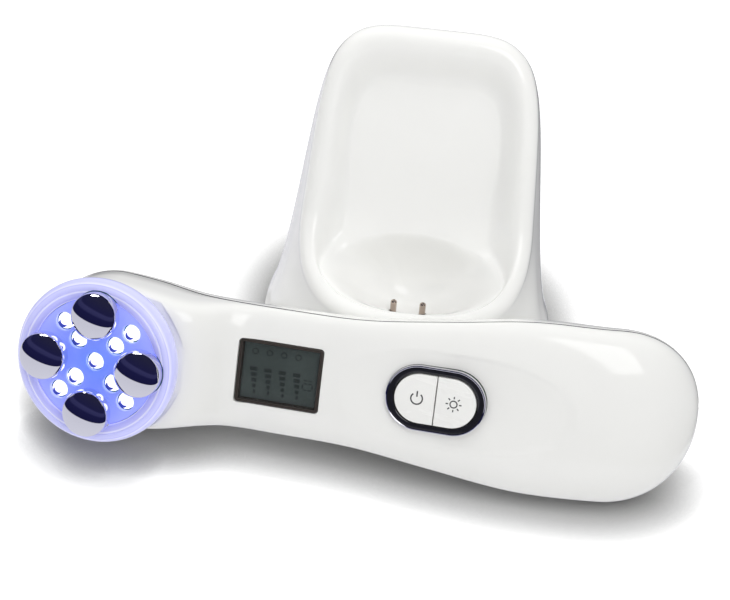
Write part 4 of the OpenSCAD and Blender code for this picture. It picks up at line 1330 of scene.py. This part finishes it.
class TONING_OT_key_surround(bpy.types.Operator):
    """Builds the chrome rim and the glossy dark band inside it"""

    bl_idname = "toning.key_surround"
    bl_label = "Key surround"

    def execute(self, context):
        f = in_mm(context.scene.toning_face)
        place, path = place_on_face(f.key_x), stadium(f.rim_r, f.key_c, 40)
        t, top, foot, groove, ledge = f.rim_t, f.rim_z, 8.5, 9.2, 0.4
        rim = frame_ring(path, [
            (0, foot), (0, top - 0.35), (-0.05, top - 0.18), (-0.17, top - 0.05), (-0.34, top),
            (-0.5, top - 0.05), (-t + 0.06, top - 0.2), (-t + 0.06, groove),
            (-t - ledge, groove), (-t - ledge, 6.3), (-t, 6.3), (-t, foot),
        ])
        whole_piece("chrome_rim", rim, place, "handset", "rim_chrome", "rim", ["key_rim"])
        low, outer, inner = 5.5, -t + 0.02, -(f.rim_r - f.key_r - f.key_gap)
        profile = [
            (-t - ledge - 0.04, low), (-t - ledge - 0.04, groove + 0.02), (outer, groove + 0.02),
            (outer, top - 0.1), (outer - 0.12, top + 0.04), (outer - 0.5, top + 0.1),
            (inner + 0.75, top + 0.1), (inner + 0.35, top + 0.04), (inner + 0.12, top - 0.12),
            (inner, top - 0.4), (inner, low),
        ]

        def point(i, j):
            (x, y), (nx, ny) = path[i % len(path)]
            out, z = profile[j % len(profile)]
            narrow = math.copysign(share_of((out - outer) / (inner - outer)) * f.key_in / 2, x)
            return Vector((x + nx * out - narrow, y + ny * out, z))

        band = moulded_sheet(len(path), len(profile), point)
        whole_piece("dark_band", band, place, "handset", "band_black", "band", ["key_band"])
        return {"FINISHED"}


def power_mark():
    """The usual on and off sign: an open ring with a bar."""
    return merged([stroke(arc(1.75, 130, 410), 0.42), stroke([(0, 0.55), (0, 2.35)], 0.42)])


def light_mark():
    """A small lamp sign: a disc outline with rays."""
    rays = [math.radians(45 * k) for k in range(8)]
    parts = [stroke([polar(1.65, a), polar(2.4, a)], 0.36) for a in rays]
    return merged([stroke(arc(1.05, 0, 359), 0.36), *parts])


class TONING_OT_keys(bpy.types.Operator):
    """Builds the two half keys, softly crowned, each with its printed mark"""

    bl_idname = "toning.keys"
    bl_label = "Keys"

    def execute(self, context):
        f = in_mm(context.scene.toning_face)
        place = place_on_face(f.key_x)
        top, foot, c = f.rim_z + 0.2, 4.5, f.key_c - f.key_in
        middle, stem_r = (c / 2 + f.key_r) / 2, 1.8
        for side, body, sign in ((-1, "power_key", power_mark()), (1, "light_key", light_mark())):
            cap = slab(half_stadium(f.key_r, c, f.key_gap / 2), foot, top, 0.32, 4)
            key = merged([cap, moved(rod(stem_r, foot - 0.6, foot), middle)])
            if side < 0:
                moved(key, turn=math.pi)
            whole_piece(body + "_cap", key, place, body, "key_white", "key", [body], sharp=35)
            moved(sign, side * (middle - 0.6), 0, top)
            whole_piece(body + "_mark", sign, place, body, "band_black", "mark", sharp=35)
        return {"FINISHED"}


# ------------------------------------------------------------------ cradle
class CradleForm:
    """The bent tray with its cup, standing on a wider foot."""

    widest_q = 34  # along the edge from the lip
    foot_n = 2.3  # squareness of the foot's outline
    foot_swing = math.radians(8)  # how far the foot's corners lead those of the rim
    cup_spread = 1.25  # crowds the cup's lines towards its edge

    def __init__(self):
        c = self.c = in_mm(bpy.context.scene.toning_cradle)
        self.bend_l = c.bend_r * c.lean
        self.path_l = self.bend_l + c.rest_l

    def tray(self, x, q, h):
        """A point x across, q along the edge from the lip and h above it."""
        c = self.c
        a = min(q / self.bend_l, 1) * c.lean
        s = max(q - self.bend_l, 0)
        return Vector((
            x,
            -c.lip_y + c.bend_r * math.sin(a) + s * math.cos(c.lean) - h * math.sin(a),
            c.lip_z + c.bend_r * (1 - math.cos(a)) + s * math.sin(c.lean) + h * math.cos(a),
        ))

    def edge_q(self, b):
        """How far along the edge the rim is at angle b, from -90 at the lip to 90 at the top."""
        c, widest = self.c, self.widest_q
        if b < 0:
            return widest + (widest - c.lip_in) * signed_power(math.sin(b), 2 / c.lip_n)
        return widest + (self.path_l - widest) * math.sin(b) ** (2 / c.corner_n)

    def edge_x(self, b):
        """How far from the middle the rim is at angle b."""
        c = self.c
        w = c.rim_hw + (c.top_hw - c.rim_hw) * self.edge_q(b) / self.path_l
        return w * max(math.cos(b), 0) ** (2 / (c.lip_n if b < 0 else c.corner_n))

    def ray(self, i, around):
        """The i-th of the lines that run from the foot to the cup's middle."""
        b = -math.pi / 2 + 2 * math.pi * i / around
        mirrored = b > math.pi / 2
        turn = math.pi - b if mirrored else b
        quarter, near = math.pi / 2, math.radians(1.5)
        hi, lo = min(turn + near, quarter), max(turn - near, -quarter)
        dx, dq = self.edge_x(hi) - self.edge_x(lo), self.edge_q(hi) - self.edge_q(lo)
        size = max(math.hypot(dx, dq), 0.001)
        nx, nq = dq / size, -dx / size
        if abs(abs(turn) - quarter) < 1e-4:
            nx, nq = 0.0, math.copysign(1, turn)
        return SimpleNamespace(
            sign=-1 if mirrored else 1,
            turn=turn,
            x=self.edge_x(turn),
            q=self.edge_q(turn),
            nx=nx,
            nq=nq,
        )

    def edge(self, r, off):
        """The rim's (across, along) at ray r, moved out by off."""
        return r.sign * (r.x + off * r.nx), r.q + off * r.nq

    def foot(self, r, off, z):
        """The foot's outline at ray r, moved in by off."""
        c = self.c
        g = r.turn + self.foot_swing * math.sin(2 * r.turn)
        return Vector((
            r.sign * (c.foot_hw - off) * max(math.cos(g), 0) ** (2 / self.foot_n),
            c.foot_y + (c.foot_hd - off) * signed_power(math.sin(g), 2 / self.foot_n),
            z,
        ))

    def cup(self, r, share):
        """The (across, along) at ray r at that share of the way out from the cup's middle."""
        c = self.c
        x, q = self.edge(r, 0)
        v = math.atan2((q - c.cup_q) / c.cup_hl, x / c.cup_hw)
        return share * c.cup_hw * math.cos(v), c.cup_q + share * c.cup_hl * math.sin(v)

    def foot_line(self, r, t):
        """The foot's lower edge, rounded on the outside."""
        z, inset, rounding = self.c.pad_h, 0.15, 0.5
        if t:
            return [self.foot(r, t, z)]
        steps = ((rounding, 0), (inset, inset), (0, rounding))
        return [self.foot(r, off, z + rise) for off, rise in steps]

    def wall_line(self, r, t, steps):
        """The flared wall from the foot to the underside of the rim."""
        c = self.c
        foot_top, share = c.pad_h + c.foot_h, r.q / self.path_l
        low = self.foot(r, t, foot_top)
        top = self.tray(*self.edge(r, c.edge_r - t * 0.9), -c.edge_r - t * 0.4)
        beyond = self.tray(*self.edge(r, c.edge_r + 3), -c.edge_r - 12)
        near_foot = Vector((
            low.x + (top.x - low.x) * 0.55,
            low.y + (top.y - low.y) * 0.55,
            foot_top + (top.z - foot_top) * 0.16,
        ))
        near_rim = top + (beyond - top) * (0.5 + 0.7 * share) - Vector((0, 0, 4 * share))
        return [bezier(low, near_foot, near_rim, top, k / steps) for k in range(steps + 1)]

    def rim_line(self, r, t, steps):
        """A quarter turn over the rounded rim."""
        edge_r, turn_r = self.c.edge_r, self.c.edge_r - t * 0.5
        line = []
        for k in range(1, steps + 1):
            a = math.pi / 2 * k / steps
            x, q = self.edge(r, turn_r * math.cos(a))
            line.append(self.tray(x, q, -edge_r - t * 0.6 + turn_r * math.sin(a)))
        return line

    def hollow_line(self, r, t, slopes, shelves, cups):
        """Down the slope inside the rim, across the shelf and into the middle of the cup."""
        c = self.c
        (ex, eq), (cx, cq) = self.edge(r, 0), self.cup(r, 1)
        wide = math.hypot(cx - ex, cq - eq)
        depth = c.rest_d * math.sin(math.pi / 2 * min(wide / c.shelf_s, 1))
        slope = min(c.rest_s / wide, 0.75)
        line = []
        for k in range(1, slopes + shelves + 1):
            v = min(k / slopes, 1)
            f = v * slope if k <= slopes else slope + (1 - slope) * (k - slopes) / shelves
            d = depth * v * v * (3 - 2 * v)
            line.append(self.tray(ex + (cx - ex) * f, eq + (cq - eq) * f, -d - t))
        for k in range(1, cups + 1):
            f = 1 - (k / cups) ** self.cup_spread
            sunk = 1 - f * f
            d = depth * f * f + c.rest_d * sunk + c.cup_d * sunk**c.cup_n
            line.append(self.tray(*self.cup(r, f), -d - t))
        return line

    def skin(self, r, t, walls, rims, slopes, shelves, cups):
        """The line at ray r from the foot over the rim to the cup, t inside the surface."""
        return (
            self.foot_line(r, t)
            + self.wall_line(r, t, walls)
            + self.rim_line(r, t, rims)
            + self.hollow_line(r, t, slopes, shelves, cups)
        )


class TONING_OT_cradle_shell(bpy.types.Operator):
    """Builds the cradle's shell: foot, bent backrest, soft rim and cup"""

    bl_idname = "toning.cradle_shell"
    bl_label = "Cradle shell"

    def execute(self, context):
        form, place, around = CradleForm(), cradle_place(), 224
        c = form.c
        rays = [form.ray(i, around) for i in range(around)]
        outside = [form.skin(r, 0, 22, 12, 16, 5, 26) for r in rays]
        inside = [form.skin(r, c.wall, 12, 2, 5, 1, 8) for r in rays]
        lines = [o + n[::-1] for o, n in zip(outside, inside)]
        n = len(lines[0])
        tray = moulded_sheet(around, n, lambda i, j: lines[i % around][j % n])
        shell = plain_object("cradle_body", tray, place)
        for side in (-1, 1):
            hole = moved(rod(c.pin_r + 0.25, -1, 60), side * c.pin_pitch / 2, c.pin_y)
            cut_away(shell, hole, place)
        cut_away(shell, rod(c.inlet_r, -6, 30), place @ inlet_place())
        finished(shell, "cradle", "cradle_white", "cradle", ["cradle_shell"], 28)
        return {"FINISHED"}


class TONING_OT_pins(bpy.types.Operator):
    """Builds the contact pins with rounded, dimpled tips"""

    bl_idname = "toning.pins"
    bl_label = "Contact pins"

    def execute(self, context):
        c = in_mm(context.scene.toning_cradle)
        r, top, foot = c.pin_r, c.pin_top, 9.6
        profile = [(0, foot), (r, foot), (r, top - 0.75)]
        for a in [math.radians(k) for k in range(0, 91, 15)]:
            profile.append((r - 0.55 + 0.55 * math.cos(a), top - 0.6 + 0.6 * math.sin(a)))
        profile += [(r - 0.62, top - 0.04), (r - 0.75, top - 0.22), (0, top - 0.3)]
        at_y, half = c.pin_y, c.pin_pitch / 2
        pins = merged([moved(turned_body(profile, 40), side * half, at_y) for side in (-1, 1)])
        dressing = ("cradle", "pin_nickel", "nickel", ["contact_pins"])
        whole_piece("charging_pins", pins, cradle_place(), *dressing)
        return {"FINISHED"}


class TONING_OT_inner_parts(bpy.types.Operator):
    """Paints the parts that stay as they were built"""

    bl_idname = "toning.inner_parts"
    bl_label = "Inner parts"

    def execute(self, context):
        table = {
            "board": ("led_board", "main_board", "cradle_board"),
            "grey": ("head_carrier", "socket_block", "pin_holder"),
            "dark": ("key_switches", "dc_inlet"),
            "coil": ("rf_transformer",),
            "battery": ("battery",),
            "gold": ("charge_sockets",),
            "steel": ("housing_screws", "base_screws"),
            "ballast": ("ballast_plate",),
            "base": ("base_plate",),
            "rubber": ("rubber_feet",),
        }
        for finish, nodes in table.items():
            for node in nodes:
                mesh = NODES[node].data
                if not mesh.materials:
                    mesh.materials.append(None)
                for k in range(len(mesh.materials)):
                    mesh.materials[k] = paint(finish)
        return {"FINISHED"}


# ------------------------------------------------------------------ stage
# The lamps: size, watts, place, height they aim at and whether polished surfaces mirror them.
LAMPS = {
    "key_box": ((0.42, 0.55), 2.0, (0.3, -0.52, 0.72), 0.03, True),
    "dome_box": ((0.45, 0.3), 5.4, (-0.3, 0.68, 0.76), 0.02, True),
    "left_box": ((0.14, 0.24), 0.45, (-0.5, -0.62, 0.55), 0.03, False),
    "right_box": ((0.4, 0.4), 0.3, (0.8, -0.3, 0.5), 0.03, False),
    "top_box": ((0.6, 0.6), 2.6, (0, 0, 1.0), 0.03, False),
    "back_box": ((0.45, 0.3), 3.0, (-0.3, 0.68, 0.76), 0.03, False),
}
# What polished metal sees round it, from down along a tilted axis to up along it.
MIRROR_AXIS = (0.222, 0.277, 0.935)
MIRROR_BANDS = [
    (0.0, (0.74, 0.74, 0.82)),
    (0.33, (0.68, 0.68, 0.76)),
    (0.336, (0.01, 0.01, 0.05)),
    (0.5, (0.012, 0.012, 0.06)),
    (0.54, (0.03, 0.03, 0.1)),
    (0.62, (0.035, 0.035, 0.11)),
    (0.66, (0.014, 0.014, 0.06)),
    (1.0, (0.02, 0.02, 0.05)),
]
# The camera: its angles in degrees, and a picture in which the cradle's lip has its place.
CAMERA_RISE, CAMERA_SIDE, CAMERA_ROLL = 42, 1, 5.5
CAMERA_REACH = 780  # millimetres from the point it looks at
PICTURE_W, PIXELS_PER_MM = 730, 3.28
LIP_RIGHT, LIP_BELOW = 42, 18  # pixels from the middle of the picture
SENSOR = 36


def lamp(name, size, energy, place, aim_z, mirrored):
    """A rectangular soft lamp, aimed at a height over the origin."""
    data = bpy.data.lights.new(name, "AREA")
    data.shape = "RECTANGLE"
    data.size, data.size_y = size
    data.energy = energy
    obj = bpy.data.objects.new(name, data)
    obj.location = place
    aim = Vector((0, 0, aim_z)) - Vector(place)
    obj.rotation_euler = aim.to_track_quat("-Z", "Y").to_euler()
    obj.visible_glossy = mirrored
    bpy.context.scene.collection.objects.link(obj)


class TONING_OT_stage(bpy.types.Operator):
    """Sets up the camera, the floor, the lamps and the surroundings"""

    bl_idname = "toning.stage"
    bl_label = "Stage"

    def execute(self, context):
        context.scene.view_settings.view_transform = "Standard"
        camera_setup(context.scene)
        floor_setup()
        world_setup(context.scene)
        for name, settings in LAMPS.items():
            lamp(name, *settings)
        return {"FINISHED"}


def camera_setup(scene):
    """The camera looks down on the object and is rolled a little."""
    rise, side, roll = [math.radians(a) for a in (CAMERA_RISE, CAMERA_SIDE, CAMERA_ROLL)]
    right = Vector((math.cos(side), math.sin(side), 0))
    up = Vector((-math.sin(rise) * right.y, math.sin(rise) * right.x, math.cos(rise)))
    back = right.cross(up)
    rolled_right = right * math.cos(roll) + up * math.sin(roll)
    rolled_up = -right * math.sin(roll) + up * math.cos(roll)
    cradle, pixel = scene.toning_cradle, 0.001 / PIXELS_PER_MM
    lip = Vector((cradle.at_x, cradle.at_y - cradle.lip_y, cradle.lip_z))
    focus = lip - rolled_right * (LIP_RIGHT * pixel) + rolled_up * (LIP_BELOW * pixel)
    data = bpy.data.cameras.new("camera")
    data.sensor_width = SENSOR
    data.lens = SENSOR * PIXELS_PER_MM * CAMERA_REACH / PICTURE_W
    data.clip_start, data.clip_end = 0.01, 20
    obj = bpy.data.objects.new("camera", data)
    obj.matrix_world = Matrix((rolled_right, rolled_up, back)).transposed().to_4x4()
    obj.location = focus + back * (CAMERA_REACH * 0.001)
    scene.collection.objects.link(obj)
    scene.camera = obj


def switched(tree, mask, first, second):
    """The first shader, or the second where the mask is 1."""
    mix = tree.nodes.new("ShaderNodeMixShader")
    for k, value in enumerate((mask, first.outputs[0], second.outputs[0])):
        tree.links.new(value, mix.inputs[k])
    return mix


def floor_setup():
    """A pale floor that takes the object's shadow, with painted contact shade where the object is
    near, and stays out of its mirrors.
    """
    bm = bmesh.new()
    bmesh.ops.create_grid(bm, x_segments=2, y_segments=2, size=1.6)
    mesh = bpy.data.meshes.new("floor")
    bm.to_mesh(mesh)
    bm.free()
    floor = bpy.data.objects.new("floor", mesh)
    bpy.context.scene.collection.objects.link(floor)
    material, tree, shader = new_finish("Pale floor")
    shader.inputs["Roughness"].default_value = 0.9
    shader.inputs["Specular IOR Level"].default_value = 0.1
    shader.inputs["Emission Color"].default_value = (1, 1, 1, 1)
    path = tree.nodes.new("ShaderNodeLightPath")
    seen = path.outputs["Is Camera Ray"]
    for_light, for_eye = (0.9, 0.9, 0.9), (0.3, 0.3, 0.3)
    tree.links.new(tinted(tree, seen, for_light, for_eye), shader.inputs["Base Color"])
    # Painted shade: for the camera, the floor's glow fades where the object is near, which gives a
    # dark contact shade round it.
    near = add(tree, "AmbientOcclusion", {"samples": 8}, Distance=0.015).outputs["AO"]
    painted_shade_glow = maths(tree, "MULTIPLY", seen, maths(tree, "POWER", near, 4.0))
    tree.links.new(maths(tree, "MULTIPLY", painted_shade_glow, 0.8), shader.inputs["Emission Strength"])
    through = tree.nodes.new("ShaderNodeBsdfTransparent")
    mix = switched(tree, path.outputs["Is Glossy Ray"], shader, through)
    tree.links.new(mix.outputs[0], tree.nodes["Material Output"].inputs[0])
    mesh.materials.append(material)


def world_setup(scene):
    """Pale surroundings for the eye and for soft light; polished metal sees a dark studio above."""
    world = bpy.data.worlds.new("studio")
    scene.world = world
    world.use_nodes = True
    tree = world.node_tree
    tree.nodes.clear()
    path = tree.nodes.new("ShaderNodeLightPath")
    view = tree.nodes.new("ShaderNodeTexCoord").outputs["Generated"]
    rise = add(tree, "VectorMath", {"operation": "DOT_PRODUCT"}, i0=view, i1=MIRROR_AXIS)
    height = add(tree, "MapRange", Value=rise.outputs["Value"], From_Min=-1.0, From_Max=1.0)
    studio = banded(tree, height.outputs[0], MIRROR_BANDS)
    soft = add(tree, "Background", Color=(1.0, 1.0, 0.99, 1), Strength=0.56)
    dark = add(tree, "Background", Color=studio, Strength=1.0)
    white = add(tree, "Background", Color=(1, 1, 1, 1), Strength=1.0)
    mirror = switched(tree, path.outputs["Is Glossy Ray"], soft, dark)
    whole = switched(tree, path.outputs["Is Camera Ray"], mirror, white)
    out = tree.nodes.new("ShaderNodeOutputWorld")
    tree.links.new(whole.outputs[0], out.inputs[0])


class TONING_OT_lamp_links(bpy.types.Operator):
    """Gives the polished electrodes a lamp of their own in place of the front one"""

    bl_idname = "toning.lamp_links"
    bl_label = "Lamp links"

    def execute(self, context):
        objects = bpy.data.objects
        for name, state in (("key_box", "EXCLUDE"), ("dome_box", "INCLUDE")):
            receivers = bpy.data.collections.new(name + "_receivers")
            receivers.objects.link(objects["dome_electrodes"])
            receivers.collection_objects[0].light_linking.link_state = state
            objects[name].light_linking.receiver_collection = receivers
        return {"FINISHED"}


# ------------------------------------------------------------------ panel and run
STEPS = [
    TONING_OT_stage,
    TONING_OT_front_cover,
    TONING_OT_rear_cover,
    TONING_OT_joint_tongue,
    TONING_OT_lens,
    TONING_OT_light_plate,
    TONING_OT_lights,
    TONING_OT_electrodes,
    TONING_OT_display,
    TONING_OT_key_surround,
    TONING_OT_keys,
    TONING_OT_cradle_shell,
    TONING_OT_pins,
    TONING_OT_inner_parts,
    TONING_OT_lamp_links,
]
SIZE_GROUPS = {
    "toning_handset": HandsetSizes,
    "toning_head": HeadSizes,
    "toning_face": FaceSizes,
    "toning_cradle": CradleSizes,
    "toning_finishes": Finishes,
}


class TONING_PT_panel(bpy.types.Panel):
    """Lists the pieces and their sizes"""

    bl_idname = "TONING_PT_panel"
    bl_label = "Facial toning device"
    bl_space_type = "VIEW_3D"
    bl_region_type = "UI"
    bl_category = "Toning device"

    def draw(self, context):
        for step in STEPS:
            self.layout.operator(step.bl_idname)
        for name, group in SIZE_GROUPS.items():
            box = self.layout.box()
            box.label(text=group.__name__)
            for key in group.__annotations__:
                box.prop(getattr(context.scene, name), key)


def register():
    for name, group in SIZE_GROUPS.items():
        bpy.utils.register_class(group)
        setattr(bpy.types.Scene, name, bpy.props.PointerProperty(type=group))
    for step in STEPS:
        bpy.utils.register_class(step)
    bpy.utils.register_class(TONING_PT_panel)


def unregister():
    bpy.utils.unregister_class(TONING_PT_panel)
    for step in reversed(STEPS):
        bpy.utils.unregister_class(step)
    for name, group in SIZE_GROUPS.items():
        delattr(bpy.types.Scene, name)
        bpy.utils.unregister_class(group)


def main():
    register()
    for step in STEPS:
        space, _, call = step.bl_idname.partition(".")
        getattr(getattr(bpy.ops, space), call)()


if __name__ == "__main__":
    main()
